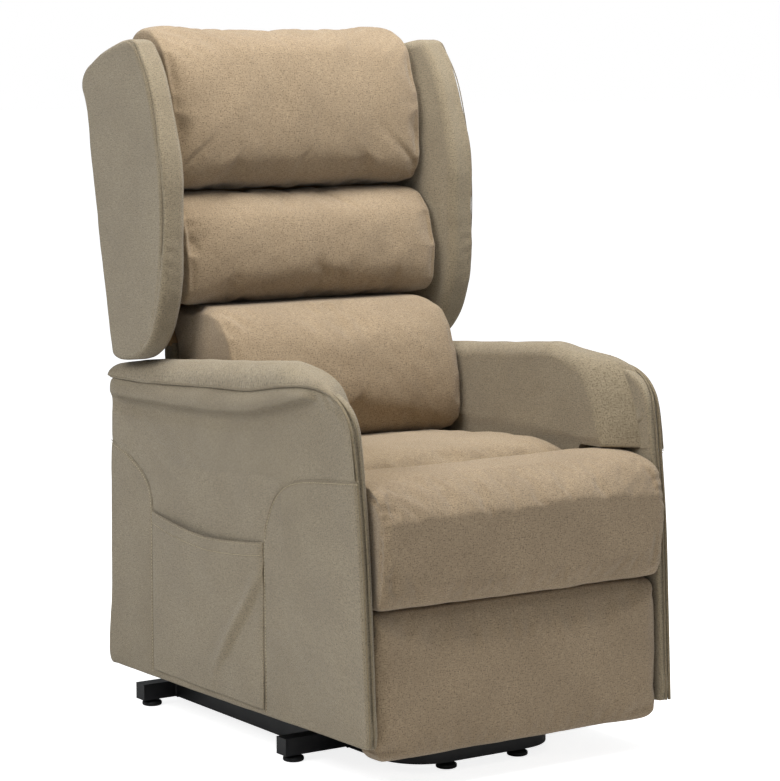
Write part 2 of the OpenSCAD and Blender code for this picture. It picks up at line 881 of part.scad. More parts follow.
pad_shares = [
  [0.60, 0.00], [0.05, 0.02], [0.02, 0.10], [0.00, 0.50], [0.04, 0.90], [0.20, 1.00],
  [0.95, 1.00], [1.00, 0.96], [1.00, 0.50], [1.00, 0.04], [0.96, 0.00]
];
pad_low = 55;
pad_top = 285;
module footrest_pad() {
  front = -8;
  outline = boxed(pad_shares, front, board_y - front - seat_gap, pad_low, pad_top - pad_low);
  color(cushion_cloth)
    from_front()
      cushion(outline, [board_y - seat_gap, (pad_low + pad_top) / 2], footrest_w, 8, 0.80);
}
bolster_shares = [
  [0.10, 0.00], [0.04, 0.08], [0.00, 0.30], [0.02, 0.62], [0.12, 0.84], [0.33, 0.96], [0.62, 1.00],
  [0.90, 0.99], [1.00, 0.92], [1.00, 0.72], [0.96, 0.615], [0.88, 0.60], [0.54, 0.60],
  [0.41, 0.645], [0.335, 0.60], [0.360, 0.46], [0.374, 0.06], [0.34, 0.00], [0.24, 0.00]
];
bolster_depth = 166;
bolster_low = pad_top + link_gap;
bolster_top = 486;
module footrest_bolster() {
  outline = boxed(bolster_shares, -front_overhang, bolster_depth, bolster_low, bolster_top - bolster_low);
  hub_shares = [0.3, 0.75];
  hub = [
    bolster_depth * hub_shares[0] - front_overhang,
    bolster_low + (bolster_top - bolster_low) * hub_shares[1]
  ];
  color(cushion_cloth)
    from_front()
      cushion(outline, [board_y, shelf_low + shelf_t], footrest_w, 8, 0.84, hub);
}

// Back
hinge_pivot = [hinge_y, hinge_z];
hinge_arm_x = foot_arm_x + foot_link_t + arm_gap;
hinge_arm_t = 5;
hinge_arm_w = 30;
module back_torque_tube() {
  reach = 2 * (hinge_arm_x - seat_gap);
  color(steel)
    from_front() {
      rod_x(-reach / 2, hinge_pivot, foot_tube_d, reach);
      crank_ears(back_x_line, hinge_pivot, back_pin, foot_link_w);
      crank_pin_x(back_x_line, back_pin);
    }
}
// The board leans with the back; its front face passes through this line
back_board_y = 624;
back_board_z = 357;
board_base = [back_board_y, back_board_z];
hinge_mid_h = 70;
hinge_top_h = 190;
back_board_t = 20;
up_dir = turned([0, 1], -back_lean);
rear_dir = turned([1, 0], -back_lean);
hinge_mid = board_base + hinge_mid_h * up_dir + (back_board_t + seat_gap + hinge_arm_w / 2) * rear_dir;
hinge_top = board_base + hinge_top_h * up_dir + (back_board_t + seat_gap + hinge_arm_w / 2) * rear_dir;
module back_hinge_arms() {
  color(steel)
    from_front()
      both_sides()
        bar(hinge_arm_x, [hinge_pivot, hinge_mid, hinge_top], hinge_arm_t, hinge_arm_w);
}
board_neck_w = seat_w - 2 * arm_gap;
board_upper_w = 2 * wing_inner - 2 * seat_gap;
board_neck_h = 285;
back_board_h = 775;
module back_board() {
  color(wood)
    from_front()
      on_board() {
        translate([-board_neck_w / 2, 0, 0])
          cube([board_neck_w, back_board_t, board_neck_h + eps]);
        translate([-board_upper_w / 2, 0, board_neck_h])
          cube([board_upper_w, back_board_t, back_board_h - board_neck_h]);
      }
}
// The padded cover behind the board, above the arms, and the flat skirt below it
shell_shares = [
  [0.00, 0.00], [0.00, 0.50], [0.00, 1.00], [0.50, 0.99], [0.95, 0.93], [1.00, 0.70],
  [1.00, 0.50], [1.00, 0.20], [0.75, 0.04], [0.30, 0.00]
];
shell_t = 30;
shell_low = board_neck_h + soft_gap;
shell_h = 485;
shell_power = 5;
shell_share = 0.90;
module on_board() {
  translate([0, board_base[0], board_base[1]])
    rotate([-back_lean, 0, 0])
      children();
}
module back_shell() {
  outline = boxed(shell_shares, back_board_t + seat_gap, shell_t, shell_low, shell_h);
  color(cloth)
    from_front()
      on_board()
        cushion(
          outline,
          [back_board_t + seat_gap, shell_low + shell_h / 2],
          2 * (wing_inner - soft_gap),
          shell_power,
          shell_share
        );
}
skirt_low = 50;
skirt_t = 12;
module back_skirt() {
  w = 2 * (hinge_arm_x - seat_gap);
  color(cloth)
    from_front()
      on_board()
        translate([-w / 2, back_board_t + seat_gap, skirt_low])
          cube([w, skirt_t, board_neck_h - skirt_low]);
}
lumbar_shares = [
  [0.10, 0.00], [0.01, 0.07], [0.00, 0.26], [0.05, 0.56], [0.17, 0.78], [0.36, 0.97], [0.66, 1.00],
  [0.98, 0.97], [1.00, 0.90], [0.78, 0.05], [0.72, 0.00], [0.40, 0.00]
];
lumbar_low = 466;
lumbar_top = 700;
lumbar_front = 463;
lumbar_depth = 234;
middle_front = 582;
middle_depth = 160;
head_front = 628;
head_depth = 166;
back_power = 4;
back_share = 0.84;
centre_share = 0.72;
// Where the board's front face lies at a given height
function board_face(z) = board_base[0] + (z - board_base[1]) * tan(back_lean);
// Rear points are held in front of the board
function clipped(p) = [for (q = p) [min(q[0], board_face(q[1]) - link_gap), q[1]]];
module back_cushion(shares, front, depth, low, top, w) {
  outline = boxed(shares, front, depth, low, top - low);
  us = shares_across(stations);
  centre = [front + depth * centre_share, (low + top) / 2];
  rings = [for (u = us) clipped(about(outline, centre, swell(u, back_power, back_share)))];
  hub = mean(rings[0]);
  color(cushion_cloth)
    from_front()
      loft([for (u = us) u * w / 2], rings, [hub, hub]);
}
module lumbar_cushion() {
  back_cushion(lumbar_shares, lumbar_front, lumbar_depth, lumbar_low, lumbar_top, seat_w - 3 * arm_gap);
}
middle_shares = [
  [0.33, 0.01], [0.08, 0.09], [0.00, 0.42], [0.06, 0.72], [0.22, 0.92], [0.50, 1.00], [0.97, 0.99],
  [1.00, 0.90], [0.78, 0.04], [0.70, 0.00]
];
middle_top = 888;
module middle_cushion() {
  low = lumbar_top + link_gap;
  w = 2 * (wing_inner - soft_gap);
  back_cushion(middle_shares, middle_front, middle_depth, low, middle_top, w);
}
head_shares = [
  [0.23, 0.01], [0.04, 0.08], [0.00, 0.24], [0.02, 0.55], [0.16, 0.79], [0.38, 0.95], [0.62, 1.00],
  [0.87, 0.96], [1.00, 0.84], [0.96, 0.80], [0.96, 0.60], [0.80, 0.20], [0.70, 0.01], [0.45, 0.00]
];
module head_cushion() {
  low = middle_top + link_gap;
  w = 2 * (wing_inner - soft_gap);
  back_cushion(head_shares, head_front, head_depth, low, chair_h, w);
}
// A wing's outline, from its lower front tip up the front edge and down the rear
wing_shares = [
  [0.20, 0.00], [0.10, 0.04], [0.02, 0.16], [0.00, 0.36], [-0.01, 0.56], [0.05, 0.72], [0.17, 0.89],
  [0.36, 1.00], [0.50, 1.00], [0.70, 0.965], [0.92, 0.91], [1.00, 0.88], [0.99, 0.80], [0.88, 0.58],
  [0.76, 0.28], [0.67, 0.08], [0.62, 0.00], [0.40, -0.02]
];
wing_front = 557;
wing_low = 622;
wing_top = 1143;
wing_x_shares = [-1, -0.94, -0.6, 0.1, 0.6, 0.88, 1];
wing_centre_share = 0.55;
wing_edge_shares = [0.925, 0.965, 1, 1, 0.985, 0.95, 0.89];
module wing() {
  depth = chair_d - front_overhang - wing_front;
  outline = boxed(wing_shares, wing_front, depth, wing_low, wing_top - wing_low);
  centre = [wing_front + depth * wing_centre_share, (wing_low + wing_top) / 2];
  mid_x = (chair_w / 2 + wing_inner) / 2;
  half_t = (chair_w / 2 - wing_inner) / 2;
  loft(
    [for (u = wing_x_shares) mid_x + u * half_t],
    [for (k = wing_edge_shares) about(outline, centre, k)]
  );
}
module left_wing() {
  color(cloth)
    from_front()
      wing();
}
module right_wing() {
  color(cloth)
    from_front()
      mirror([1, 0, 0])
        wing();
}

// Arms
panel_t = 19;
panel_in = body_w / 2 - panel_t;
core_front = 152;
core_rear = 770;
core_low = 78;
core_top = 548;
core_room = 4.5;
module arm_core() {
  translate([seat_w / 2 + link_gap * half, core_front, core_low])
    cube([panel_in - seat_w / 2 - core_room, core_rear - core_front, core_top - core_low]);
}
module left_arm_core() {
  color(cloth)
    from_front()
      arm_core();
}
module right_arm_core() {
  color(cloth)
    from_front()
      mirror([1, 0, 0])
        arm_core();
}
// The pad inboard of the side panel: its nose wraps down at the front, its crown falls
// away to the rear, and it is notched over the core. k lowers the crown towards the edges
pad_rear = 785;
pad_base = core_top + seat_gap;
front_drop = 489;
nose_l = 90;
crown_h = 99;
notch = 4;
nose_shares = [[0.15, 0, 0], [0, 0.10, 0], [0.055, 0.60, 0], [0.18, 1, 0.28], [0.44, 1, 0.57], [1, 1, 0.85]];
crown_shares = [[0.13, 1], [0.32, 0.86], [0.62, 0.71], [0.86, 0.58], [1, 0.445]];
under_shares = [0.57, 0.30, 0.15, 0.035];
function pad_inner(f, k) =
  let (
    run = f + nose_l,
    rest = pad_rear - run,
    drop = pad_base - front_drop
  )
  concat(
    [[core_front - notch, front_drop]],
    [for (q = nose_shares) [f + q[0] * nose_l, front_drop + q[1] * drop + q[2] * crown_h * k]],
    [for (q = crown_shares) [run + q[0] * rest, pad_base + q[1] * crown_h * k]],
    [[pad_rear, pad_base]],
    [for (q = under_shares) [core_front + q * rest, pad_base]],
    [[core_front - 2 * notch, pad_base + 2 * notch], [core_front - notch, pad_base - 4 * notch]]
  );
// The pad outboard of it, lying on the panel's top edge: rows of run, foot and rise
edge_front = 120;
edge_low = 545;
edge_h = 72;
edge_shares = [
  [0.012, 0.935, 0], [0.006, 0.95, 0], [0.002, 0.965, 0.03], [0, 0.98, 0.06], [0.003, 0.978, 0.12],
  [0.018, 0.965, 0.194], [0.06, 0.93, 0.333], [0.15, 0.79, 0.553], [0.337, 0.544, 0.686],
  [0.63, 0.408, 0.614], [0.865, 0.321, 0.53], [1, 0.208, 0.444], [1, 0, 0], [0.605, 0.1, 0],
  [0.341, 0.25, 0], [0.195, 0.49, 0], [0.0825, 0.775, 0], [0.045, 0.86, 0], [0.02, 0.91, 0]
];
function pad_outer(k) = [
  for (q = edge_shares)
    [edge_front + q[0] * (pad_rear - edge_front), edge_low + (q[1] + k * q[2]) * edge_h]
];
pad_in_x = seat_w / 2 - arm_gap;
pad_out_x = body_w / 2 + 2 * arm_gap;
pad_in_shares = [0, 0.05, 0.19, 0.39, 0.62, 0.95];
pad_out_shares = [0, 0.45, 0.78, 1];
pad_in_crowns = [0.55, 0.84, 0.97, 1, 0.97, 0.94];
pad_out_crowns = [0.94, 0.72, 0.42, 0.05];
front_slope = 1.05;
nose_front = 24;
hub_run = 16;
hub_rise = 28;
edge_hub_shares = [0.42, 0.35];
module arm_pad() {
  in_xs = [for (q = pad_in_shares) pad_in_x + q * (panel_in - link_gap - pad_in_x)];
  out_xs = [for (q = pad_out_shares) panel_in - seat_gap + q * (pad_out_x - panel_in + seat_gap)];
  loft(
    concat(in_xs, out_xs),
    concat(
      [for (i = [0 : len(in_xs) - 1])
        cut(pad_inner(nose_front + front_slope * (body_w / 2 - in_xs[i]), pad_in_crowns[i]))],
      [for (k = pad_out_crowns) cut(pad_outer(k))]
    ),
    [
      [core_front - hub_run, pad_base + hub_rise],
      [
        edge_front + edge_hub_shares[0] * (pad_rear - edge_front),
        edge_low + edge_hub_shares[1] * edge_h
      ]
    ]
  );
}
module left_arm_pad() {
  color(cloth)
    from_front()
      arm_pad();
}
module right_arm_pad() {
  color(cloth)
    from_front()
      mirror([1, 0, 0])
        arm_pad();
}
panel_shares = [
  [0.000, 0.025], [0.002, 0.180], [0.012, 0.330], [0.022, 0.560], [0.038, 0.820], [0.047, 0.900],
  [0.062, 0.955], [0.085, 0.990], [0.119, 1.000], [0.166, 0.991], [0.228, 0.960], [0.411, 0.890],
  [0.683, 0.864],
  [0.930, 0.858], [0.978, 0.857], [0.982, 0.820], [0.988, 0.420], [1.000, 0.090], [0.985, 0.000],
  [0.500, 0.000], [0.040, 0.000]
];
panel_x_shares = [0, 0.15, 0.8, 1];
panel_edge_shares = [0.995, 1, 1, 0.988];
panel_front = -16;
panel_rear = 797;
panel_low = 70;
panel_top = 611;
module side_panel() {
  outline = boxed(panel_shares, panel_front, panel_rear - panel_front, panel_low, panel_top - panel_low);
  centre = [(panel_front + panel_rear) / 2, (panel_low + panel_top) / 2];
  loft(
    [for (q = panel_x_shares) panel_in + q * panel_t],
    [for (k = panel_edge_shares) about(outline, centre, k)]
  );
}
module left_side_panel() {
  color(cloth)
    from_front()
      side_panel();
}
module right_side_panel() {
  color(cloth)
    from_front()
      mirror([1, 0, 0])
        side_panel();
}
pocket_front = 278;
pocket_rear = 635;
pocket_low = 84;
pocket_off = 11;
pocket_t = 2.5;
pocket_top = 358;
pocket_sag = 16;
pocket_mouth_shares = [[1, 0], [0.74, 0.62], [0.47, 1], [0.20, 0.62], [0, 0.12]];
module pocket_shape(inset, over) {
  pocket_w = pocket_rear - pocket_front;
  polygon(concat(
    [[pocket_front + inset, pocket_low + inset], [pocket_rear - inset, pocket_low + inset]],
    [for (q = pocket_mouth_shares)
      [
        min(max(pocket_front + q[0] * pocket_w, pocket_front + inset), pocket_rear - inset),
        pocket_top - q[1] * pocket_sag + over
      ]]
  ));
}
module side_pocket() {
  edge = 6;
  color(cloth)
    from_front()
      mirror([1, 0, 0])
        translate([body_w / 2 + seat_gap, 0, 0])
          rotate([quarter, 0, quarter])
            difference() {
              linear_extrude(pocket_off)
                pocket_shape(0, 0);
              translate([0, 0, -eps])
                linear_extrude(pocket_off - pocket_t)
                  pocket_shape(edge, pocket_off);
            }
}
module rear_panel() {
  low = 76;
  top = 385;
  t = 8;
  color(cloth)
    from_front()
      translate([-seat_w / 2 - pocket_off, core_rear + seat_gap, low])
        cube([seat_w + 2 * pocket_off, t, top - low]);
}

base_rear_tube();
base_mid_tube();
base_side_rails();
base_front_tube();
tube_end_caps();
levelling_feet();
pivot_plates();
base_pivot_studs();
lift_motor_bracket();
lift_motor();
lift_actuator_tube();
lift_rod();
right_lift_arm();
left_lift_arm();
lift_torque_tube();
right_rear_link();
left_rear_link();
carriage_bolts();
right_mechanism_plate();
left_mechanism_plate();
seat_cross_tubes();
seat_side_rails();
seat_end_rails();
seat_webbing();
seat_cushion();
motor_brackets();
footrest_motor();
footrest_actuator_tube();
footrest_rod();
footrest_torque_tube();
footrest_drive_links();
footrest_idler_links();
footrest_arms();
footrest_stays();
footrest_link_pins();
footrest_brackets();
footrest_board();
footrest_pad();
footrest_bolster();
back_motor();
back_actuator_tube();
back_rod();
back_torque_tube();
back_hinge_arms();
back_board();
back_shell();
back_skirt();
lumbar_cushion();
middle_cushion();
head_cushion();
right_wing();
left_wing();
right_arm_core();
left_arm_core();
right_arm_pad();
left_arm_pad();
right_side_panel();
left_side_panel();
side_pocket();
rear_panel();
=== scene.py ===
"""Lift recliner: the cloth, seams, steel and wood of an upholstered chair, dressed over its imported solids."""

import math

import bpy
import numpy as np
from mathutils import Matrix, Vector


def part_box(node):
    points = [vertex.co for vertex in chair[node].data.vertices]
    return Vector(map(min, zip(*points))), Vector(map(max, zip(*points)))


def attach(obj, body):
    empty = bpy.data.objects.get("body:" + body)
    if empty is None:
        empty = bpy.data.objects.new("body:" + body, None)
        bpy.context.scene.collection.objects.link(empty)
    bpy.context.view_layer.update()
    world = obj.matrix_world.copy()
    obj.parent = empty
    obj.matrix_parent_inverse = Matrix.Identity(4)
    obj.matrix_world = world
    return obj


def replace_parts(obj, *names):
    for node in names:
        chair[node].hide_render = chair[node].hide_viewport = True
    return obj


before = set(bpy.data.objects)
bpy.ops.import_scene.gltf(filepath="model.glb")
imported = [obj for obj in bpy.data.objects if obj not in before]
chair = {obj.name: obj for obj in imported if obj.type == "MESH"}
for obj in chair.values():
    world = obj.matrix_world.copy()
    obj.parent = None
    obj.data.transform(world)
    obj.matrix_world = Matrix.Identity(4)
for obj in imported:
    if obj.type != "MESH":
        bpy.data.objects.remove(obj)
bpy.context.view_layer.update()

# Welded base: square tube, 28 mm across, bent at the front and cut square at the ends,
# with the pivot plates and the motor's bracket welded on and all of it powder coated black.


def paint(red, green, blue):
    """A colour given as 0 to 255, as the light it gives back: ((c + 0.055) / 1.055) ^ 2.4."""
    share = np.array([red, green, blue]) / 255
    light = np.where(share > 0.04045, ((share + 0.055) / 1.055) ** 2.4, share / 12.92)
    return (*[float(x) for x in light], 1.0)


def add(tree, kind, joins=None, **settings):
    """One shader node: joins sets its sockets, each to a value or to another node's socket."""
    made = tree.nodes.new(kind)
    for name, value in settings.items():
        setattr(made, name, value)
    for name, value in (joins or {}).items():
        if isinstance(value, bpy.types.NodeSocket):
            tree.links.new(value, made.inputs[name])
        else:
            made.inputs[name].default_value = value
    return made


def finish_of(name, **fixed):
    """A new material with one Principled shader; `fixed` holds what is the same all over."""
    material = bpy.data.materials.new(name)
    material.use_nodes = True
    tree = material.node_tree
    tree.nodes.clear()
    shader = add(tree, "ShaderNodeBsdfPrincipled", {k.replace("_", " "): v for k, v in fixed.items()})
    out = add(tree, "ShaderNodeOutputMaterial")
    tree.links.new(shader.outputs["BSDF"], out.inputs["Surface"])
    return material, tree, shader


def blend_of(tree, factor, first, second):
    """A colour between two, by a factor from 0 to 1."""
    made = tree.nodes.new("ShaderNodeMix")
    made.data_type = "RGBA"
    for socket, value in zip((made.inputs[0], made.inputs[6], made.inputs[7]), (factor, first, second)):
        if isinstance(value, bpy.types.NodeSocket):
            tree.links.new(value, socket)
        else:
            socket.default_value = value
    return made.outputs[2]


def noise_of(tree, place, scale, detail, stretch=None, distortion=0.0):
    """A cloudy noise from 0 to 1 at a place, which a stretch scales along x, y and z first."""
    if stretch:
        place = add(tree, "ShaderNodeMapping", {"Vector": place, "Scale": stretch}).outputs["Vector"]
    sockets = {"Vector": place, "Scale": scale, "Detail": detail, "Distortion": distortion}
    return add(tree, "ShaderNodeTexNoise", sockets).outputs["Fac"]


def ranged(tree, value, **limits):
    """A value set from one range to another, by From_Min, From_Max, To_Min and To_Max."""
    sockets = {name.replace("_", " "): limit for name, limit in limits.items()}
    return add(tree, "ShaderNodeMapRange", {"Value": value, **sockets}).outputs["Result"]


def joined(tree, shader, tint, gloss=None, height=None, strength=0.0, depth=0.0):
    """Joins a finish's colour to its shader, and its roughness and its relief where it has them."""
    tree.links.new(tint, shader.inputs["Base Color"])
    if gloss is not None:
        tree.links.new(gloss, shader.inputs["Roughness"])
    if height is not None:
        relief = add(tree, "ShaderNodeBump", {"Height": height, "Strength": strength, "Distance": depth})
        tree.links.new(relief.outputs["Normal"], shader.inputs["Normal"])


def powder_coat(name, colour, roughness=0.42):
    """Baked powder: a fine orange-peel skin, dust-dulled in soft patches."""
    material, tree, shader = finish_of(name, Specular_IOR_Level=0.45)
    place = add(tree, "ShaderNodeTexCoord").outputs["Object"]
    peel = noise_of(tree, place, 620.0, 2.0)
    dust = noise_of(tree, place, 24.0, 4.0)
    tint = blend_of(tree, dust, paint(*colour), paint(*[c * 1.35 + 4 for c in colour]))
    gloss = ranged(tree, dust, To_Min=roughness - 0.06, To_Max=roughness + 0.14)
    joined(tree, shader, tint, gloss, peel, strength=0.22, depth=0.0004)
    return material


def wear(material, *names):
    """Puts a finish on CAD nodes, in place of the plain one that they came with."""
    for name in names:
        chair[name].data.materials.clear()
        chair[name].data.materials.append(material)


black_coat = powder_coat("black_powder_coat", (20, 20, 22))
wear(
    black_coat,
    "base_rear_tube", "base_mid_tube", "base_side_rails", "base_front_tube", "pivot_plates",
    "lift_motor_bracket",
)


def outward(points, faces):
    """True if the faces point out: the sum of a . (b x c) over the fan of each face is the volume times 6."""
    tri = np.array([t for f in faces for t in zip([f[0]] * (len(f) - 2), f[1:-1], f[2:])])
    a, b, c = points[tri].transpose(1, 0, 2)
    return np.einsum("ij,ij->", a, np.cross(b, c)) > 0


def piece_of(name, points, faces, uv, material, body):
    """A smooth mesh with its weave map in metres and its finish, riding on a body. faces and uv are in
    the same order, corner by corner; a shape that came out inside out is turned."""
    points, uv = np.asarray(points, float), np.asarray(uv, float)
    faces = [list(f) for f in faces]
    if not outward(points, faces):
        starts = np.cumsum([0] + [len(f) for f in faces])
        turned = np.concatenate([np.arange(b - 1, a - 1, -1) for a, b in zip(starts, starts[1:])])
        uv, faces = uv[turned], [f[::-1] for f in faces]
    mesh = bpy.data.meshes.new(name)
    mesh.from_pydata(points.tolist(), [], faces)
    mesh.polygons.foreach_set("use_smooth", np.ones(len(mesh.polygons), bool))
    mesh.uv_layers.new(name="weave").data.foreach_set("uv", uv.astype(np.float32).ravel())
    mesh.materials.append(material)
    mesh.update()
    piece = bpy.data.objects.new(name, mesh)
    bpy.context.scene.collection.objects.link(piece)
    if body:
        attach(piece, body)
    return piece


def run_along(line):
    """The length along a line, in metres, at each of its points."""
    return np.append(0, np.cumsum(np.linalg.norm(np.diff(line, axis=0), axis=1)))


def tube_faces(m, n, closed=False):
    """The faces of m rings of n points: quads between neighbouring rings, also from the last to the first
    where the tube is closed, and fans to the two end points that follow an open tube's rings."""
    i, j = [x.ravel() for x in np.meshgrid(np.arange(m if closed else m - 1), np.arange(n), indexing="ij")]
    k, up = (j + 1) % n, (i + 1) % m
    quads = np.stack([i * n + j, i * n + k, up * n + k, up * n + j], -1)
    j, k, last = np.arange(n), (np.arange(n) + 1) % n, (m - 1) * n
    first_fan = np.stack([np.full(n, m * n), k, j], -1)
    last_fan = np.stack([np.full(n, m * n + 1), last + j, last + k], -1)
    return quads, np.vstack([first_fan, last_fan])


def bead(name, paths, radius, material, body, around=8, ripple=0.0, pitch=0.004, closed=False):
    """Round cord laid along paths. At a path point p with tangent t the ring is
    p + r (cos a * n + sin a * b), n and b square to t, and r = radius (1 + ripple sin(2 pi s / pitch))
    after a length s. Open ends close on the path's own end points."""
    points, faces, uv, base = [], [], [], 0
    for path in paths:
        path = np.asarray(path, float)
        m = len(path)
        ahead = np.roll(path, -1, 0) - np.roll(path, 1, 0) if closed else np.gradient(path, axis=0)
        ahead /= np.linalg.norm(ahead, axis=1)[:, None] + 1e-12
        lean = np.eye(3)[np.abs(ahead).mean(0).argmin()]
        n1 = np.cross(ahead, lean)
        n1 /= np.linalg.norm(n1, axis=1)[:, None] + 1e-12
        n2 = np.cross(ahead, n1)
        run = run_along(path)
        run = np.append(run, run[-1] + run[1])
        a = np.arange(around) * 2 * np.pi / around
        r = radius * (1 + ripple * np.sin(2 * np.pi * run[:m] / pitch))
        ring = np.cos(a)[None, :, None] * n1[:, None] + np.sin(a)[None, :, None] * n2[:, None]
        flat = np.vstack([(path[:, None] + r[:, None, None] * ring).reshape(-1, 3), path[[0, -1]]])
        quads, fans = tube_faces(m, around, closed)
        i, j = np.divmod(quads[:, 0], around)
        near, far, arc = run[i], run[i + 1], radius * 2 * np.pi / around
        corner = [(near, arc * j), (near, arc * (j + 1)), (far, arc * (j + 1)), (far, arc * j)]
        faces += (quads + base).tolist()
        uv.append(np.stack([np.stack(c, -1) for c in corner], 1).reshape(-1, 2))
        if not closed:
            faces += (fans + base).tolist()
            uv.append(flat[fans.ravel()][:, 1:])
        points.append(flat if not closed else flat[:-2])
        base += len(points[-1])
    return piece_of(name, np.vstack(points), faces, np.vstack(uv), material, body)


def low_high(node):
    """A CAD node's box as two arrays, in metres."""
    return [np.array(corner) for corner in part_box(node)]


def square_loop(centre, half, across, up, count=40):
    """A loop round a square tube: the point at an angle a is
    centre + half / max(|cos a|, |sin a|) (cos a, sin a)."""
    a = np.arange(count) * 2 * np.pi / count + np.pi / count
    k = half / np.maximum(np.abs(np.cos(a)), np.abs(np.sin(a)))
    return centre + (k * np.cos(a))[:, None] * across + (k * np.sin(a))[:, None] * up


rails_low, rails_high = low_high("base_side_rails")
front_low, front_high = low_high("base_front_tube")
tube_half = (rails_high[2] - rails_low[2]) / 2
tube_middle = (rails_high[2] + rails_low[2]) / 2
weld_stand = 0.0004
sideways, upward = np.array([1, 0, 0]), np.array([0, 0, 1])
rail_middles = (rails_low[0] + tube_half, rails_high[0] - tube_half)
joints = [(x, y) for x in rail_middles for y in (rails_low[1], rails_high[1])]
joints += [(x, front_high[1]) for x in (front_low[0] + tube_half, front_high[0] - tube_half)]
bead(
    "base_weld_beads",
    [
        square_loop(np.array([x, y, tube_middle]), tube_half + weld_stand, sideways, upward)
        for x, y in joints
    ],
    0.0022,
    black_coat,
    "base",
    ripple=0.16,
    pitch=0.0035,
    closed=True,
)

# Feet and tube ends: moulded black rubber pads on threaded stems, and plastic plugs pushed
# into the open ends of the two cross tubes.


def moulded(name, colour, roughness, grain):
    """Moulded plastic or rubber: an eroded grain of fine dimples, dulled a little by handling."""
    material, tree, shader = finish_of(name, Specular_IOR_Level=0.4)
    place = add(tree, "ShaderNodeTexCoord").outputs["Object"]
    dimple = add(tree, "ShaderNodeTexVoronoi", {"Vector": place, "Scale": grain})
    scuff = noise_of(tree, place, 45.0, 5.0)
    tint = blend_of(tree, scuff, paint(*colour), paint(*[c * 1.25 + 5 for c in colour]))
    gloss = ranged(tree, scuff, To_Min=roughness - 0.08, To_Max=roughness + 0.12)
    joined(tree, shader, tint, gloss, dimple.outputs["Distance"], strength=0.3, depth=0.0003)
    return material


foot_rubber = moulded("foot_rubber", (15, 15, 16), 0.6, 900.0)
cap_plastic = moulded("cap_plastic", (19, 19, 20), 0.45, 1200.0)
wear(cap_plastic, "tube_end_caps")


def turned_part(name, spots, profile, material, body, around=36):
    """Parts turned on a lathe, one at each spot: the profile (r, z) carried round, point by point
    (x + r cos a, y + r sin a, z). The profile starts and ends on the axis."""
    profile = np.asarray(profile, float)
    a = np.arange(around) * 2 * np.pi / around
    inner = profile[1:-1]
    ring = np.stack(
        [
            inner[:, None, 0] * np.cos(a),
            inner[:, None, 0] * np.sin(a),
            np.repeat(inner[:, None, 1], around, 1),
        ],
        -1,
    ).reshape(-1, 3)
    one = np.vstack([ring, [[0, 0, profile[0, 1]], [0, 0, profile[-1, 1]]]])
    quads, fans = tube_faces(len(inner), around)
    points, faces = [], []
    for at, (x, y) in enumerate(spots):
        points.append(one + [x, y, 0])
        faces += (quads + at * len(one)).tolist() + (fans + at * len(one)).tolist()
    points = np.vstack(points)
    uv = points[np.concatenate([np.ravel(f) for f in faces])][:, :2]
    return piece_of(name, points, faces, uv, material, body)


feet_low, feet_high = low_high("levelling_feet")
foot_r = 0.017
foot_spots = [
    (side * x, y)
    for side in (-1, 1)
    for x, y in (
        (feet_high[0] - foot_r, feet_high[1] - foot_r),
        (feet_high[0] - foot_r, rails_low[1] - tube_half),
        (0.07, feet_low[1] + foot_r),
    )
]
foot_profile = [
    (0, 0), (foot_r - 0.003, 0), (foot_r - 0.001, 0.0008), (foot_r, 0.0022), (foot_r, 0.0055),
    (foot_r - 0.0008, 0.007), (foot_r - 0.0024, 0.0079), (0.0125, 0.0082), (0.0078, 0.0088), (0.0072, 0.0096),
    (0.0068, 0.0112), (0.0066, 0.0119), (0.004, 0.012), (0.004, feet_high[2]), (0, feet_high[2]),
]
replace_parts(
    turned_part("levelling_feet_moulded", foot_spots, foot_profile, foot_rubber, "base"), "levelling_feet"
)

# Lift linkage: laser-cut links and a welded torque tube, black powder coated, on zinc-plated
# pivot bolts. A motor in a plastic case drives it through a tube and a sliding rod.


def plated(name, colour, roughness):
    """Zinc plate on steel: a soft mirror, hazed in drawn streaks."""
    material, tree, shader = finish_of(name, Metallic=1.0)
    place = add(tree, "ShaderNodeTexCoord").outputs["Object"]
    streak = noise_of(tree, place, 1.0, 3.0, stretch=(900.0, 60.0, 900.0))
    haze = noise_of(tree, place, 38.0, 4.0)
    tint = blend_of(tree, haze, paint(*colour), paint(*[c * 0.82 for c in colour]))
    gloss = ranged(tree, streak, To_Min=roughness - 0.1, To_Max=roughness + 0.15)
    joined(tree, shader, tint, gloss)
    return material


zinc_plate = plated("zinc_plate", (176, 178, 180), 0.34)
bright_rod = plated("ground_rod", (196, 197, 198), 0.2)
motor_plastic = moulded("motor_plastic", (38, 39, 41), 0.5, 1500.0)
wear(
    black_coat,
    "right_lift_arm", "left_lift_arm", "lift_torque_tube", "right_rear_link", "left_rear_link",
    "right_mechanism_plate", "left_mechanism_plate", "seat_cross_tubes", "motor_brackets",
    "footrest_torque_tube", "footrest_brackets", "back_torque_tube", "back_hinge_arms",
)
wear(
    zinc_plate,
    "base_pivot_studs", "carriage_bolts", "footrest_drive_links", "footrest_idler_links", "footrest_arms",
    "footrest_stays", "footrest_link_pins", "lift_actuator_tube", "footrest_actuator_tube",
    "back_actuator_tube",
)
wear(bright_rod, "lift_rod", "footrest_rod", "back_rod")
wear(motor_plastic, "lift_motor", "footrest_motor", "back_motor")

# Seat frame: sawn pine rails on the mechanism, plywood boards in the footrest and the back,
# and woven elastic webbing stapled across the seat from front to rear.


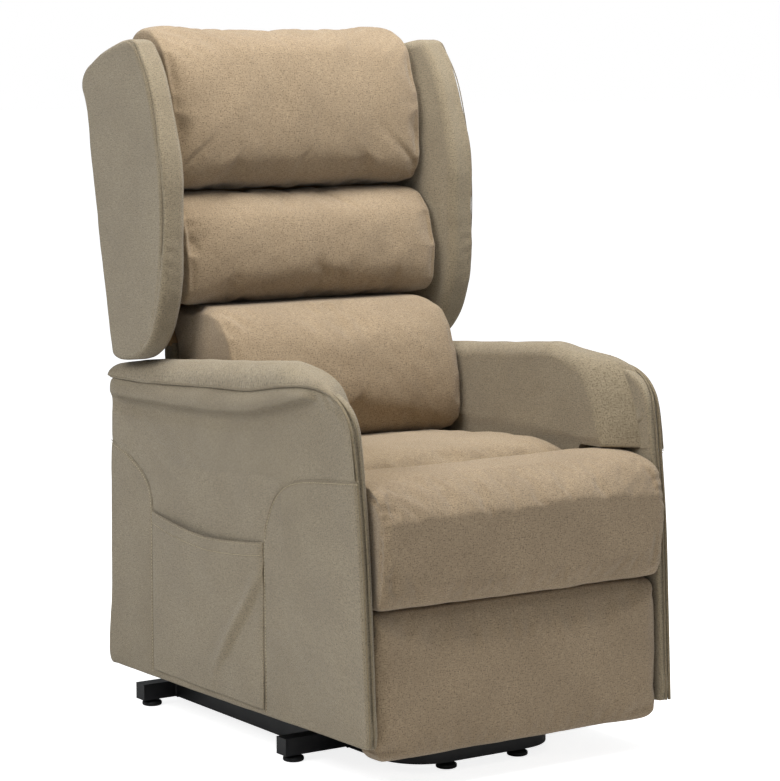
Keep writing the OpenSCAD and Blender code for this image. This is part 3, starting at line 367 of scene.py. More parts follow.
def sawn_wood(name, pale, dark, along):
    """Sawn softwood: rings cut through as long streaks, (x, y, z) scaled so that they run with the grain,
    and fine pores in the same direction."""
    material, tree, shader = finish_of(name, Roughness=0.68, Specular_IOR_Level=0.3)
    place = add(tree, "ShaderNodeTexCoord").outputs["Object"]
    grain_scale = [55.0, 55.0, 55.0]
    grain_scale[along] = 2.4
    pore_scale = [1400.0, 1400.0, 1400.0]
    pore_scale[along] = 45.0
    ring = noise_of(tree, place, 1.0, 5.0, stretch=tuple(grain_scale), distortion=0.6)
    pore = noise_of(tree, place, 1.0, 2.0, stretch=tuple(pore_scale))
    streak = ranged(tree, ring, From_Min=0.38, From_Max=0.66)
    tint = blend_of(tree, streak, paint(*pale), paint(*dark))
    tint = blend_of(tree, pore, tint, paint(*[c * 0.9 for c in pale]))
    joined(tree, shader, tint, height=pore, strength=0.35, depth=0.0005)
    return material


wear(sawn_wood("pine_lengthwise", (196, 160, 112), (158, 116, 72), 1), "seat_side_rails")
wear(sawn_wood("pine_crosswise", (198, 163, 116), (160, 118, 74), 0), "seat_end_rails")
wear(sawn_wood("plywood_upright", (190, 156, 112), (160, 122, 80), 2), "footrest_board", "back_board")


def webbing_finish():
    """Elastic webbing: waves of warp along y and weft along x, whose product is its colour and relief."""
    material, tree, shader = finish_of("elastic_webbing", Roughness=0.88, Specular_IOR_Level=0.2)
    place = add(tree, "ShaderNodeTexCoord").outputs["Object"]
    thread = {"Vector": place, "Scale": 72.0, "Distortion": 0.4, "Detail": 1.0}
    warp, weft = [
        add(tree, "ShaderNodeTexWave", thread, bands_direction=way).outputs["Fac"] for way in ("X", "Y")
    ]
    cross = add(tree, "ShaderNodeMath", {0: warp, 1: weft}, operation="MULTIPLY").outputs["Value"]
    tint = blend_of(tree, cross, paint(150, 126, 88), paint(206, 186, 146))
    joined(tree, shader, tint, height=cross, strength=0.5, depth=0.001)
    return material


wear(webbing_finish(), "seat_webbing")

# Seat cushion: a foam block in a sewn cover of slubbed upholstery cloth, crowned by the pressure of
# its filling, its box seams running round the top edge and its underside glued to the webbing.

front_plane = 0.4075


def side_view(*points):
    """An outline seen from the side, in mm from the footrest's front plane and the floor, set in metres."""
    return np.asarray(points, float) / 1000 - [front_plane, 0]


def at_lengths(line, at):
    """The points of a line at given lengths along it."""
    run = run_along(line)
    return np.stack([np.interp(at, run, column) for column in line.T], -1)


def at_x(x, line):
    """A line or an outline of the side view, (y, z), set at x."""
    return np.insert(line, 0, x, axis=1)


def curve_through(points, step, closed=True):
    """Evenly spaced points on a smooth curve through the given ones. Over a gap d it is the Hermite cubic
    whose end slopes are the two neighbouring chords' mean, each weighted by the other chord's length."""
    p = np.asarray(points, float)
    ends = (p[-1:], p[:2]) if closed else (2 * p[:1] - p[1:2], 2 * p[-1:] - p[-2:-1])
    p = np.vstack([ends[0], p, ends[1]])
    gap = np.linalg.norm(np.diff(p, axis=0), axis=1)[:, None]
    chord = np.diff(p, axis=0) / gap
    slope = (chord[:-1] * gap[1:] + chord[1:] * gap[:-1]) / (gap[:-1] + gap[1:])
    t = np.linspace(0, 1, 24, endpoint=False)[:, None, None]
    a, b, d = p[1:-2], p[2:-1], gap[1:-1]
    dense = (2 * t**3 - 3 * t**2 + 1) * a + (t**3 - 2 * t**2 + t) * d * slope[:-1]
    dense = dense + (3 * t**2 - 2 * t**3) * b + (t**3 - t**2) * d * slope[1:]
    dense = np.vstack([dense.transpose(1, 0, 2).reshape(-1, p.shape[1]), p[-2]])
    length = run_along(dense)[-1]
    count = max(int(round(length / step)), 3)
    return at_lengths(dense, np.linspace(0, length, count, endpoint=not closed))


def drawn_in(half, reach, power, low, dome, step):
    """Stations across a stuffed cover, evenly spaced along its skin: at x = u half the outline has the share
    low + (1 - low) (1 - |u|^power)^(1 / power), and a shallow dome x = half + dome (1 - c^2) closes
    each end."""
    u, c = np.linspace(0, 1, 500), np.linspace(1, 0.02, 80)
    x = np.append(half * u, half + dome * (1 - c**2))
    share = np.append(low + (1 - low) * (1 - u**power) ** (1 / power), low * c)
    run = np.append(0, np.cumsum(np.hypot(np.diff(x), reach * np.diff(share))))
    at = np.linspace(0, run[-1], int(round(run[-1] / step)) + 1)
    x, share = np.interp(at, run, x), np.interp(at, run, share)
    return np.append(-x[:0:-1], x), np.append(share[:0:-1], share)


def skin(name, rings, end_from, ends, material, body, zipped=False):
    """A closed cover over rings[i, j] = (x, y, z), quads between neighbouring rings and a fan at either end.
    The weave runs round and along the skin, and flat (y, z) on the ends, which start end_from rows in. A
    zipped last ring, folded flat, is closed by quads between its point j and its point n - 1 - j."""
    m, n = rings.shape[:2]
    along = np.linalg.norm(np.diff(rings, axis=0), axis=2).mean(1)
    along = np.append(0, np.cumsum(along)) - along.sum() / 2
    middle = rings[m // 2]
    around = np.linalg.norm(np.roll(middle, -1, 0) - middle, axis=1)
    around = np.append(0, np.cumsum(around))
    i, j = [x.ravel() for x in np.meshgrid(np.arange(m - 1), np.arange(n), indexing="ij")]
    k = (j + 1) % n
    quads = np.stack([i * n + j, (i + 1) * n + j, (i + 1) * n + k, i * n + k], -1)
    start, end = along[i], along[i + 1]
    corner = [(start, around[j]), (end, around[j]), (end, around[j + 1]), (start, around[j + 1])]
    uv = np.stack([np.stack(c, -1) for c in corner], 1)
    flat = rings.reshape(-1, 3)
    on_end = (i < end_from) | ((i >= m - 1 - end_from) & (not zipped))
    uv[on_end] = flat[quads[on_end]][..., 1:]
    points = np.vstack([flat, ends[:1] if zipped else ends])
    j, k = np.arange(n), (np.arange(n) + 1) % n
    closing = np.stack([np.full(n, m * n), j, k], -1)
    if not zipped:
        last = (m - 1) * n
        closing = np.vstack([closing, np.stack([np.full(n, m * n + 1), last + k, last + j], -1)])
    faces = quads.tolist() + closing.tolist()
    uv = np.vstack([uv.reshape(-1, 2), points[closing.ravel()][:, 1:]])
    if zipped:
        j = np.arange(n // 2 - 1)
        fold = np.stack([j + 1, j, n - 1 - j, n - 2 - j], -1) + (m - 1) * n
        faces += fold.tolist()
        uv = np.vstack([uv, points[fold.ravel()][:, 1:]])
    return piece_of(name, points, faces, uv, material, body)


def stuffed(name, outline, centre, material, body, half, power, low, dome, step):
    """The cover of a stuffed block: an outline q in the side view, drawn in about c as c + share (q - c)."""
    reach = np.linalg.norm(outline - centre, axis=1).mean()
    xs, shares = drawn_in(half, reach, power, low, dome, step)
    rings = centre + shares[:, None, None] * (outline - centre)
    rings = np.concatenate([np.broadcast_to(xs[:, None, None], (*rings.shape[:2], 1)), rings], 2)
    ends = [[xs[0] - 0.0001, *centre], [xs[-1] + 0.0001, *centre]]
    return skin(name, rings, int((shares < low).sum() / 2), ends, material, body)


def places(piece, values=None):
    """A piece's points as an array; with values, they are put there instead."""
    flat = np.empty(len(piece.data.vertices) * 3)
    if values is None:
        piece.data.vertices.foreach_get("co", flat)
        return flat.reshape(-1, 3)
    piece.data.vertices.foreach_set("co", np.asarray(values, float).ravel())
    piece.data.update()
    return values


def directions(piece):
    """The way a piece's skin faces at each of its points."""
    flat = np.empty(len(piece.data.vertices) * 3)
    piece.data.vertices.foreach_get("normal", flat)
    return flat.reshape(-1, 3)


def uneven(points, size, seed):
    """A soft unevenness from -1 to 1: the mean of eight plane waves of about one size, in chosen
    directions."""
    chance = np.random.default_rng(seed)
    way = chance.normal(size=(8, 3))
    way *= 2 * np.pi / size * chance.uniform(0.6, 1.4, (8, 1)) / np.linalg.norm(way, axis=1)[:, None]
    return np.sin(points @ way.T + chance.uniform(0, 6.3, 8)).mean(1) * 2


def rumpled(piece, spots, broad, fine, seed):
    """Points moved out along the skin by two sizes of soft unevenness, broad and fine as (height, size)."""
    ripple = broad[0] * uneven(spots, broad[1], seed) + fine[0] * uneven(spots, fine[1], seed + 1)
    return spots + directions(piece) * ripple[:, None]


def bell(distance, width):
    """exp(-(distance / width)^2), 1 in the middle and fading to nothing on both sides."""
    return np.exp(-((distance / width) ** 2))


def nearest(points, line):
    """How far each point is from a line of points, and how far along the line, from 0 to 1."""
    line = np.asarray(line, float)
    a, run = line[:-1], np.diff(line, axis=0)
    share = ((points[:, None] - a) * run).sum(-1) / (run**2).sum(-1)
    share = np.clip(share, 0, 1)
    far = np.linalg.norm(points[:, None] - a - share[..., None] * run, axis=-1)
    best = far.argmin(1)
    row = np.arange(len(points))
    return far[row, best], (best + share[row, best]) / len(a)


def pressed(piece, lines, width, depth, fade=True):
    """Draws creases into a cover: at a distance d from a line the cloth sinks by depth exp(-(d / width)^2)
    and stands up a third as much at twice the width, fading to nothing at the line's ends if it is a fold."""
    spot, facing = places(piece), directions(piece)
    sink = np.zeros(len(spot))
    for line in lines:
        line = curve_through(line, 0.008, closed=False)
        low, high = line.min(0) - 5 * width, line.max(0) + 5 * width
        near = np.flatnonzero(((spot > low) & (spot < high)).all(1))
        if not len(near):
            continue
        far, along = nearest(spot[near], line)
        shape = bell(far, width) - 0.3 * bell(far - 2 * width, width)
        sink[near] += shape * (np.sin(np.pi * np.clip(along, 0, 1)) ** 0.6 if fade else 1)
    places(piece, spot - facing * (np.clip(sink, -0.4, 1) * depth)[:, None])


def filled(piece, held, reach, pressure=4.0, slack=0.03):
    """Fills a cover as its stuffing does: 20 steps of woven cloth under pressure with the points in `held`
    fixed, then a point that moved by m is left reach * tanh(m / reach) from where it was cut."""
    before = places(piece)
    group = piece.vertex_groups.new(name="held")
    group.add(np.flatnonzero(held).tolist(), 1.0, "REPLACE")
    filling = piece.modifiers.new("filling", "CLOTH")
    cloth = filling.settings
    cloth.quality = 5
    cloth.mass = 0.35
    cloth.tension_stiffness = 18.0
    cloth.compression_stiffness = 18.0
    cloth.shear_stiffness = 6.0
    cloth.bending_stiffness = 0.6
    cloth.use_pressure = True
    cloth.uniform_pressure_force = pressure
    cloth.shrink_min = -slack
    cloth.vertex_group_mass = "held"
    cloth.effector_weights.gravity = 0.0
    filling.point_cache.frame_start = 1
    filling.point_cache.frame_end = 20
    scene = bpy.context.scene
    for step in range(1, 21):
        scene.frame_set(step)
    seen = piece.evaluated_get(bpy.context.evaluated_depsgraph_get())
    after = np.empty(len(before) * 3)
    seen.data.vertices.foreach_get("co", after)
    moved = after.reshape(-1, 3) - before
    far = np.linalg.norm(moved, axis=1)[:, None] + 1e-9
    piece.modifiers.remove(filling)
    piece.vertex_groups.remove(group)
    scene.frame_set(1)
    places(piece, before + moved / far * reach * np.tanh(far / reach))


def finer(piece):
    """Rounds a cover off with one level of subdivision."""
    smooth = piece.modifiers.new("finer", "SUBSURF")
    smooth.levels = smooth.render_levels = 1
    smooth.uv_smooth = "NONE"
    smooth.use_limit_surface = False


def woven(name, colour, light, dark, fleck, sheen=0.25):
    """Slubbed upholstery cloth on the weave map, in metres: slubs stretched along warp and weft, dark and
    pale yarn flecks, a broad drift of shade, and threads sin(2 pi u / pitch) and sin(2 pi v / pitch)
    in relief."""
    material, tree, shader = finish_of(
        name, Roughness=0.9, Specular_IOR_Level=0.18, Sheen_Weight=sheen, Sheen_Roughness=0.5
    )
    place = add(tree, "ShaderNodeUVMap", uv_map="weave").outputs["UV"]

    def noise(scale, detail, across=1.0, along=1.0):
        return noise_of(tree, place, scale, detail, stretch=(across, along, 1.0))

    def between(value, low, high):
        return ranged(tree, value, From_Min=low, From_Max=high)

    def times(one, other, operation="MULTIPLY"):
        return add(tree, "ShaderNodeMath", {0: one, 1: other}, operation=operation).outputs["Value"]

    weft_slub = noise(1.0, 3.0, 110.0, 640.0)
    warp_slub = noise(1.0, 3.0, 700.0, 75.0)
    tint = blend_of(tree, between(weft_slub, 0.36, 0.66), paint(*colour), paint(*light))
    tint = blend_of(tree, times(between(warp_slub, 0.5, 0.72), 0.55), tint, paint(*dark))
    speck = times(between(noise(420.0, 1.0), 0.54, 0.66), 0.58)
    tint = blend_of(tree, speck, tint, paint(*fleck))
    pale = times(between(noise(330.0, 1.0, 1.0, 1.3), 0.6, 0.72), 0.32)
    tint = blend_of(tree, pale, tint, paint(*[c * 1.22 for c in light]))
    drift = times(between(noise(9.0, 3.0), 0.3, 0.75), 0.4)
    tint = blend_of(tree, drift, tint, paint(*dark))
    apart = add(tree, "ShaderNodeSeparateXYZ", {"Vector": place})
    warp = times(times(apart.outputs["X"], 2 * math.pi / 0.0011), 0.0, "SINE")
    weft = times(times(apart.outputs["Y"], 2 * math.pi / 0.0013), 0.0, "SINE")
    threads = times(times(warp, weft, "ADD"), times(weft_slub, 2.2), "ADD")
    joined(tree, shader, tint, height=threads, strength=0.5, depth=0.0004)
    return material


cushion_weave = woven("woven_cloth_cushions", (155, 134, 107), (178, 157, 128), (122, 104, 81), (88, 74, 58))
# The seat's cloth is the cushion cloth made a touch lighter all through: painted light for the lit top of the
# seat.
seat_weave_painted_light = woven("woven_cloth_seat_painted_light", (157, 137, 109), (180, 159, 130), (125, 107, 84), (91, 77, 61))
seat_outline = curve_through(
    side_view(
        (151, 372), (151, 410), (154, 446), (168, 467), (205, 478), (265, 481), (330, 479), (400, 473),
        (480, 466), (560, 461), (604, 458), (613, 448), (615, 410), (615, 372), (606, 356), (560, 353),
        (420, 353), (300, 353), (200, 353), (160, 356),
    ),
    0.0065,
)
seat_centre = side_view((385, 400))[0]
seat = stuffed(
    "seat_cushion_cover", seat_outline, seat_centre, seat_weave_painted_light, "carriage",
    half=0.2285, power=7, low=0.9, dome=0.0015, step=0.0065,
)
seat_spots = places(seat)
filled(seat, (seat_spots[:, 2] < 0.40) | (np.abs(seat_spots[:, 0]) > 0.222), reach=0.012)
spots = places(seat)
spots = rumpled(seat, spots, (0.0012, 0.09), (0.0004, 0.03), 3)
spots[:, 2] = np.maximum(spots[:, 2], 0.3528)
spots[:, 0] = np.clip(spots[:, 0], -0.2308, 0.2308)
places(seat, spots)
finer(seat)
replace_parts(seat, "seat_cushion")

# Footrest pad: thin foam glued to the board, its cover drawn over the edges and pulled to the back.

pad_outline = curve_through(
    side_view(
        (37, 55), (20, 54), (4, 55), (-3, 60), (-5, 72), (-6, 110), (-7, 160), (-6, 220), (-4, 256), (0, 271),
        (8, 280), (22, 284), (36, 284.5), (37.9, 283), (38, 220), (38, 150), (38, 100), (38, 60),
    ),
    0.0055,
)
pad_centre = side_view((36, 168))[0]
footrest_half = 0.2695
pad = stuffed(
    "footrest_pad_cover", pad_outline, pad_centre, cushion_weave, "footrest",
    half=footrest_half, power=14, low=0.93, dome=0.0015, step=0.0055,
)
spots = places(pad)
glued = (spots[:, 1] > -0.384) | (spots[:, 2] < 0.062) | (spots[:, 2] > 0.279)
filled(pad, glued, reach=0.005, pressure=2.0, slack=0.015)
spots = places(pad)
corner = np.clip((np.abs(spots[:, 0]) - 0.2465) / 0.025, 0, 1)
low_edge = 0.080 - 0.0265 * np.sqrt(np.clip(1 - corner**2, 0, 1))
spots[:, 2] = np.where(spots[:, 2] < low_edge, low_edge, spots[:, 2])
spots = rumpled(pad, spots, (0.0011, 0.14), (0.0003, 0.04), 5)
spots[:, 1] = np.minimum(spots[:, 1], 0.0384 - front_plane)
spots[:, 2] = np.clip(spots[:, 2], 0.0515, 0.2848)
places(pad, spots)
pressed(
    pad,
    [
        [(x, -0.4135, 0.2835), (x + 0.006 * side, -0.4145, 0.271), (x + 0.010 * side, -0.4145, 0.258)]
        for side in (-1, 1)
        for x in (side * 0.262, side * 0.249, side * 0.232)
    ],
    width=0.005,
    depth=0.0016,
)
finer(pad)
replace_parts(pad, "footrest_pad")

# Footrest bolster: a roll of foam and fibre over the board's top shelf. Its side panels are gathered
# into the roll's end seams, which pucker the cloth, and the cover tucks under the roll.

bolster_outline = curve_through(
    side_view(
        (-2, 288), (-9, 291), (-15, 302), (-19, 322), (-22, 350), (-24, 382), (-24, 410), (-20, 436),
        (-11, 455), (4, 469), (26, 478), (55, 483), (88, 485), (118, 483), (136, 474), (140, 455), (140, 425),
        (136, 408), (124, 403), (90, 402.5), (60, 402.5), (44, 402), (38.3, 396), (38, 360), (38, 320),
        (35, 292), (26, 287), (10, 286.5),
    ),
    0.006,
)
bolster_centre = side_view((22, 440))[0]
bolster = stuffed(
    "footrest_bolster_cover", bolster_outline, bolster_centre, cushion_weave, "footrest",
    half=footrest_half, power=9, low=0.9, dome=0.0015, step=0.006,
)
spots = places(bolster)
behind = (spots[:, 1] > -0.3685) | (spots[:, 2] < 0.30)
filled(bolster, behind | (np.abs(spots[:, 0]) > 0.262), reach=0.010)
spots = places(bolster)
spots = rumpled(bolster, spots, (0.0013, 0.12), (0.0005, 0.035), 7)
places(bolster, spots)
end_seam = [
    (-0.3885, 0.463), (-0.4165, 0.449), (-0.4275, 0.430), (-0.4255, 0.400), (-0.4225, 0.342), (-0.4165, 0.305)
]
gathers = []
chance = np.random.default_rng(11)
for side in (-1, 1):
    for y, z in curve_through(end_seam, 0.017, closed=False)[1:]:
        out, lift = chance.uniform(0.012, 0.024), chance.uniform(-0.006, 0.006)
        gathers.append(
            [
                (side * 0.270, y + 0.004, z),
                (side * 0.262, y - 0.002, z + lift / 2),
                (side * (0.268 - out), y - 0.004, z + lift),
            ]
        )
pressed(bolster, gathers, width=0.0048, depth=0.0034)
seams = [[(side * 0.2665, y, z) for y, z in end_seam] for side in (-1, 1)]
pressed(bolster, seams, width=0.004, depth=0.0022, fade=False)
spots = places(bolster)
board_gap, shelf_top = 0.0384 - front_plane, 0.4016
spots[:, 1] = np.where((spots[:, 2] < shelf_top) & (spots[:, 1] > board_gap), board_gap, spots[:, 1])
spots[:, 2] = np.where(spots[:, 1] > board_gap + 1e-6, np.maximum(spots[:, 2], shelf_top), spots[:, 2])
spots[:, 2] = np.clip(spots[:, 2], 0.2855, 0.4865)
spots[:, 1] = np.clip(spots[:, 1], -0.4335, 0.1408 - front_plane)
places(bolster, spots)
finer(bolster)
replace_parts(bolster, "footrest_bolster")

# Back cushions: three fibre-filled rolls sewn one above the other to a leaning board, each pulled in
# along the crease that it shares with the next one.

board_foot_y, board_foot_z = 0.2165, 0.357
lean = math.radians(12.4)


def on_board(height):
    """Where the back board's front face lies at a height."""
    return board_foot_y + (height - board_foot_z) * math.tan(lean)


def back_roll(name, node, outline, half, low, high, folds, seed, ends=(6, 0.88), above=1):
    """One roll of the back, in front of the board and between the heights low and high; above is 1 where a
    crease is sewn along its top. Its ends draw in by a power and to a share."""
    step, reach = 0.0065, 0.011
    outline = curve_through(side_view(*outline), step)
    centre = np.array([outline[:, 0].max() * 0.45 + outline[:, 0].min() * 0.55, (low + high) / 2])
    roll = stuffed(name, outline, centre, cushion_weave, "backrest", half, *ends, dome=0.0015, step=step)
    spots = places(roll)
    rear = spots[:, 1] > on_board(spots[:, 2]) - 0.012
    filled(roll, rear | (np.abs(spots[:, 0]) > half - 0.002), reach)
    spots = places(roll)
    ripple = 0.0016 * uneven(spots, 0.13, seed) + 0.0006 * uneven(spots, 0.04, seed + 1)
    edge = bell(spots[:, 2] - low, 0.018) + above * bell(high - spots[:, 2], 0.018)
    phase = spots[:, 0] * 2 * np.pi / 0.085 + seed + uneven(spots, 0.15, seed + 2)
    ripple -= edge * 0.0005 * np.abs(np.sin(phase))
    places(roll, spots + directions(roll) * ripple[:, None])
    pressed(roll, folds, width=0.007, depth=0.0035)
    spots = places(roll)
    spots[:, 2] = np.clip(spots[:, 2], low, high)
    spots[:, 1] = np.minimum(spots[:, 1], on_board(spots[:, 2]) - 0.001)
    spots[:, 0] = np.clip(spots[:, 0], -half - 0.0018, half + 0.0018)
    places(roll, spots)
    finer(roll)
    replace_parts(roll, node)
    return roll


back_roll(
    "lumbar_cushion_cover",
    "lumbar_cushion",
    (
        (487, 472), (471, 484), (465, 502), (464, 528), (467, 560), (475, 596), (487, 632), (504, 664),
        (526, 686), (556, 696), (600, 699), (650, 699), (692, 697), (697, 690), (687, 640), (672, 575),
        (655, 500), (648, 474), (630, 467), (590, 466.5), (540, 466.5), (505, 468),
    ),
    0.2245,
    0.4665,
    0.6998,
    [
        [(-0.223, 0.135, 0.690), (-0.216, 0.110, 0.672), (-0.206, 0.092, 0.650)],
        [(-0.212, 0.150, 0.697), (-0.196, 0.118, 0.684), (-0.180, 0.100, 0.668)],
        [(0.222, 0.085, 0.494), (0.214, 0.070, 0.482), (0.200, 0.064, 0.476)],
        [(0.223, 0.110, 0.478), (0.208, 0.085, 0.473), (0.190, 0.075, 0.472)],
    ],
    21,
    (4, 0.82),
)
back_roll(
    "middle_cushion_cover",
    "middle_cushion",
    (
        (602, 707), (588, 720), (583, 742), (583, 770), (587, 798), (595, 826), (608, 852), (628, 872),
        (656, 884), (692, 887), (725, 886), (737, 878), (732, 850), (722, 805), (710, 750), (702, 712),
        (690, 703), (655, 702), (625, 702.5),
    ),
    0.2495,
    0.7008,
    0.8878,
    [
        [(-0.250, 0.205, 0.822), (-0.240, 0.186, 0.806), (-0.226, 0.178, 0.796)],
        [(-0.250, 0.200, 0.790), (-0.240, 0.183, 0.790), (-0.222, 0.177, 0.788)],
    ],
    31,
)
back_roll(
    "head_cushion_cover",
    "head_cushion",
    (
        (652, 893), (636, 905), (629, 925), (628, 955), (630, 990), (634, 1025), (641, 1062), (653, 1098),
        (669, 1130), (692, 1152), (722, 1164), (752, 1163), (776, 1150), (790, 1130), (788, 1105),
        (783, 1070), (772, 1020), (760, 965), (748, 910), (738, 894), (715, 890), (680, 890),
    ),
    0.2495,
    0.8888,
    1.1658,
    [
        [(0.249, 0.250, 0.950), (0.240, 0.232, 0.934), (0.231, 0.224, 0.912)],
        [(0.250, 0.240, 0.925), (0.243, 0.230, 0.908), (0.236, 0.228, 0.897)],
    ],
    41,
    (5, 0.86),
    0,
)

# Wings: foam-faced boards at either side of the back. The outer face, the front strip and the inner
# face are separate panels, joined by a seam that runs up the outer front edge, and gathered at the foot.

# The body cloth is the cushion cloth made darker and greener. This is partly its own cooler tint, and partly
# painted shade and a painted cool reflection, as the chair's shaded sides look.
body_weave_painted_shade = woven("woven_cloth_body_painted_shade", (143, 130, 106), (165, 151, 126), (117, 104, 84), (85, 75, 60))
welt_weave = woven("woven_cloth_cord", (132, 118, 94), (150, 135, 108), (108, 96, 75), (84, 74, 57))


def wall(outline, spans, name, material, body):
    """A padded board seen from its edge: at each (x, inset) the outline is moved in by the inset, along its
    own normal, and both faces close over with rings drawn in to the middle."""
    ahead = np.roll(outline, -1, 0) - np.roll(outline, 1, 0)
    ahead /= np.linalg.norm(ahead, axis=1)[:, None]
    inward = np.stack([-ahead[:, 1], ahead[:, 0]], 1)
    middle = outline.mean(0)
    if ((middle - outline) * inward).sum() < 0:
        inward = -inward
    rings = [at_x(x, outline + inset * inward) for x, inset in spans]
    first, last = rings[0], rings[-1]
    closing = np.linspace(0.96, 0.04, 26)

    def drawn(ring, share):
        hub = np.array([ring[0, 0], *middle])
        return hub + share * (ring - hub)

    rings = [drawn(first, s) for s in closing[::-1]] + rings + [drawn(last, s) for s in closing]
    ends = [[first[0, 0], *middle], [last[0, 0], *middle]]
    return skin(name, np.array(rings), len(closing), ends, material, body)


def mirrored(piece, spots, side):
    """Gives a piece its points, made for the left, or for side -1 their mirror image with x negated."""
    spots[:, 0] *= side
    places(piece, spots)
    if side < 0:
        piece.data.flip_normals()


wing_outline = curve_through(
    side_view(
        (617, 634), (597, 655), (577, 694), (566, 726), (559, 775), (558, 820), (558, 866), (558, 914),
        (563, 955), (575, 996), (591, 1041), (611, 1088), (625, 1111), (640, 1128), (650, 1138),
        (660, 1142), (673, 1143), (687, 1142), (715, 1136), (746, 1127), (775, 1117), (800, 1105),
        (818, 1096), (829, 1086), (836, 1074), (837, 1062), (827, 1041), (805, 939), (774, 771), (748, 654),
        (742, 630), (735, 612), (720, 607), (700, 607), (672, 611), (650, 616), (632, 624),
    ),
    0.0045,
)
turn = np.linspace(0, np.pi / 2, 8)
wing_rows = [(0.2535 + 0.020 * (1 - math.sin(t)), 0.017 * (1 - math.cos(t))) for t in turn[::-1]]
wing_rows += [(x, 0.0) for x in np.linspace(0.2775, 0.3025, 7)]
wing_rows += [(0.3045 + 0.0088 * math.sin(t), 0.0095 * (1 - math.cos(t))) for t in turn]
wing_seam = curve_through(
    side_view(
        (668, 1141), (656, 1137), (640, 1119), (609, 1076), (590, 1028), (577, 983), (566, 930), (562, 878),
        (563, 820), (568, 770), (574, 735), (583, 705), (606, 662), (634, 634),
    ),
    0.004,
    closed=False,
)
wing_front, wing_middle = wing_seam[::-1], 0.2836
both_sides = ((-1, "right"), (1, "left"))
for side, hand in both_sides:
    wing = wall(wing_outline, wing_rows, f"{hand}_wing_cover", body_weave_painted_shade, "backrest")
    spots = places(wing)
    swell = np.exp(-(((spots[:, 1] - 0.27) / 0.10) ** 2) - (((spots[:, 2] - 0.88) / 0.22) ** 2))
    spots[:, 0] += np.where(spots[:, 0] > wing_middle, 0.0, 0.004 * swell)
    behind = np.clip((spots[:, 1] - np.interp(spots[:, 2], wing_front[:, 1], wing_front[:, 0])) / 0.080, 0, 1)
    inner = np.clip((0.2950 - spots[:, 0]) / 0.040, 0, 1)
    spots[:, 0] += 0.012 * (1 - behind) ** 2 * (1 + 2 * behind) * inner
    spots = rumpled(wing, spots, (0.0010, 0.16), (0.0003, 0.05), 51)
    mirrored(wing, spots, side)
    edge_x = side * 0.3118
    seam = [(edge_x, y, z) for y, z in wing_seam[::6]]
    pressed(wing, [seam], width=0.0035, depth=0.0022, fade=False)
    folds = [
        [(side * 0.311, 0.168, 0.778), (side * 0.298, 0.160, 0.772), (side * 0.280, 0.164, 0.765)],
        [(side * 0.311, 0.172, 0.744), (side * 0.298, 0.166, 0.730), (side * 0.281, 0.172, 0.712)],
        [(side * 0.311, 0.186, 0.712), (side * 0.304, 0.182, 0.696), (side * 0.292, 0.190, 0.674)],
        [(side * 0.311, 0.163, 0.800), (side * 0.300, 0.156, 0.797), (side * 0.288, 0.158, 0.794)],
    ]
    pressed(wing, folds, width=0.006, depth=0.0026)
    finer(wing)
    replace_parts(wing, f"{hand}_wing")
    path = at_x(edge_x + side * 0.0002, wing_seam)
    bead(f"{hand}_wing_seam", [path], 0.0009, welt_weave, "backrest", around=6)

# Rear of the back: a padded cover behind the board above the arms, and a flat cloth skirt on a
# stiff sheet below it, each wrapped over its edges and stapled to the board.


def leaning(points):
    """Places given as (x, out from the board's front face, up along it), in metres, set on the leaning
    board."""
    x, out, up = np.asarray(points, float).T
    y = board_foot_y + out * math.cos(lean) + up * math.sin(lean)
    z = board_foot_z - out * math.sin(lean) + up * math.cos(lean)
    return np.stack([x, y, z], 1)


shell_outline = curve_through(
    [
        (0.0205, 0.288), (0.0203, 0.34), (0.0203, 0.42), (0.0203, 0.50), (0.0203, 0.58), (0.0203, 0.66),
        (0.0203, 0.72), (0.0205, 0.768), (0.024, 0.7715), (0.034, 0.769), (0.043, 0.758), (0.048, 0.735),
        (0.0497, 0.68), (0.050, 0.60), (0.050, 0.52), (0.0498, 0.44), (0.049, 0.36), (0.046, 0.312),
        (0.040, 0.296), (0.030, 0.288),
    ],
    0.0095,
)
shell_centre = np.array([0.0205, 0.53])
shell = stuffed(
    "back_shell_cover", shell_outline, shell_centre, body_weave_painted_shade, "backrest",
    half=0.2485, power=12, low=0.93, dome=0.001, step=0.0095,
)
spots = places(shell)
spots = rumpled(shell, spots, (0.0012, 0.15), (0.0004, 0.05), 61)
spots[:, 1] = np.maximum(spots[:, 1], 0.0203)
spots[:, 2] = np.clip(spots[:, 2], 0.2875, 0.7718)
places(shell, leaning(spots))
finer(shell)
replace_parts(shell, "back_shell")

lining_outline = curve_through(
    [
        (-0.0005, 0.004), (-0.0006, 0.07), (-0.0006, 0.14), (-0.0006, 0.21), (-0.0005, 0.281),
        (0.004, 0.2838), (0.012, 0.2838), (0.0190, 0.2838), (0.0200, 0.281), (0.0200, 0.21), (0.0200, 0.14),
        (0.0200, 0.07), (0.0200, 0.004), (0.0190, 0.0012), (0.012, 0.0012), (0.004, 0.0012),
    ],
    0.006,
)
lining_mid = np.array([0.010, 0.142])
lining = stuffed(
    "back_board_lining", lining_outline, lining_mid, body_weave_painted_shade, "backrest",
    half=0.2294, power=30, low=0.99, dome=0.0002, step=0.008,
)
places(lining, leaning(places(lining)))
tape_outline = curve_through(
    [
        (0.0010, 0.7753), (0.0100, 0.7753), (0.0190, 0.7753), (0.0198, 0.7762), (0.0180, 0.7770),
        (0.0100, 0.7774), (0.0020, 0.7770), (0.0002, 0.7762),
    ],
    0.0015,
)
tape_mid = np.array([0.010, 0.7763])
tape = stuffed(
    "back_board_top_lining", tape_outline, tape_mid, body_weave_painted_shade, "backrest",
    half=0.2470, power=30, low=0.99, dome=0.0002, step=0.008,
)
places(tape, leaning(places(tape)))

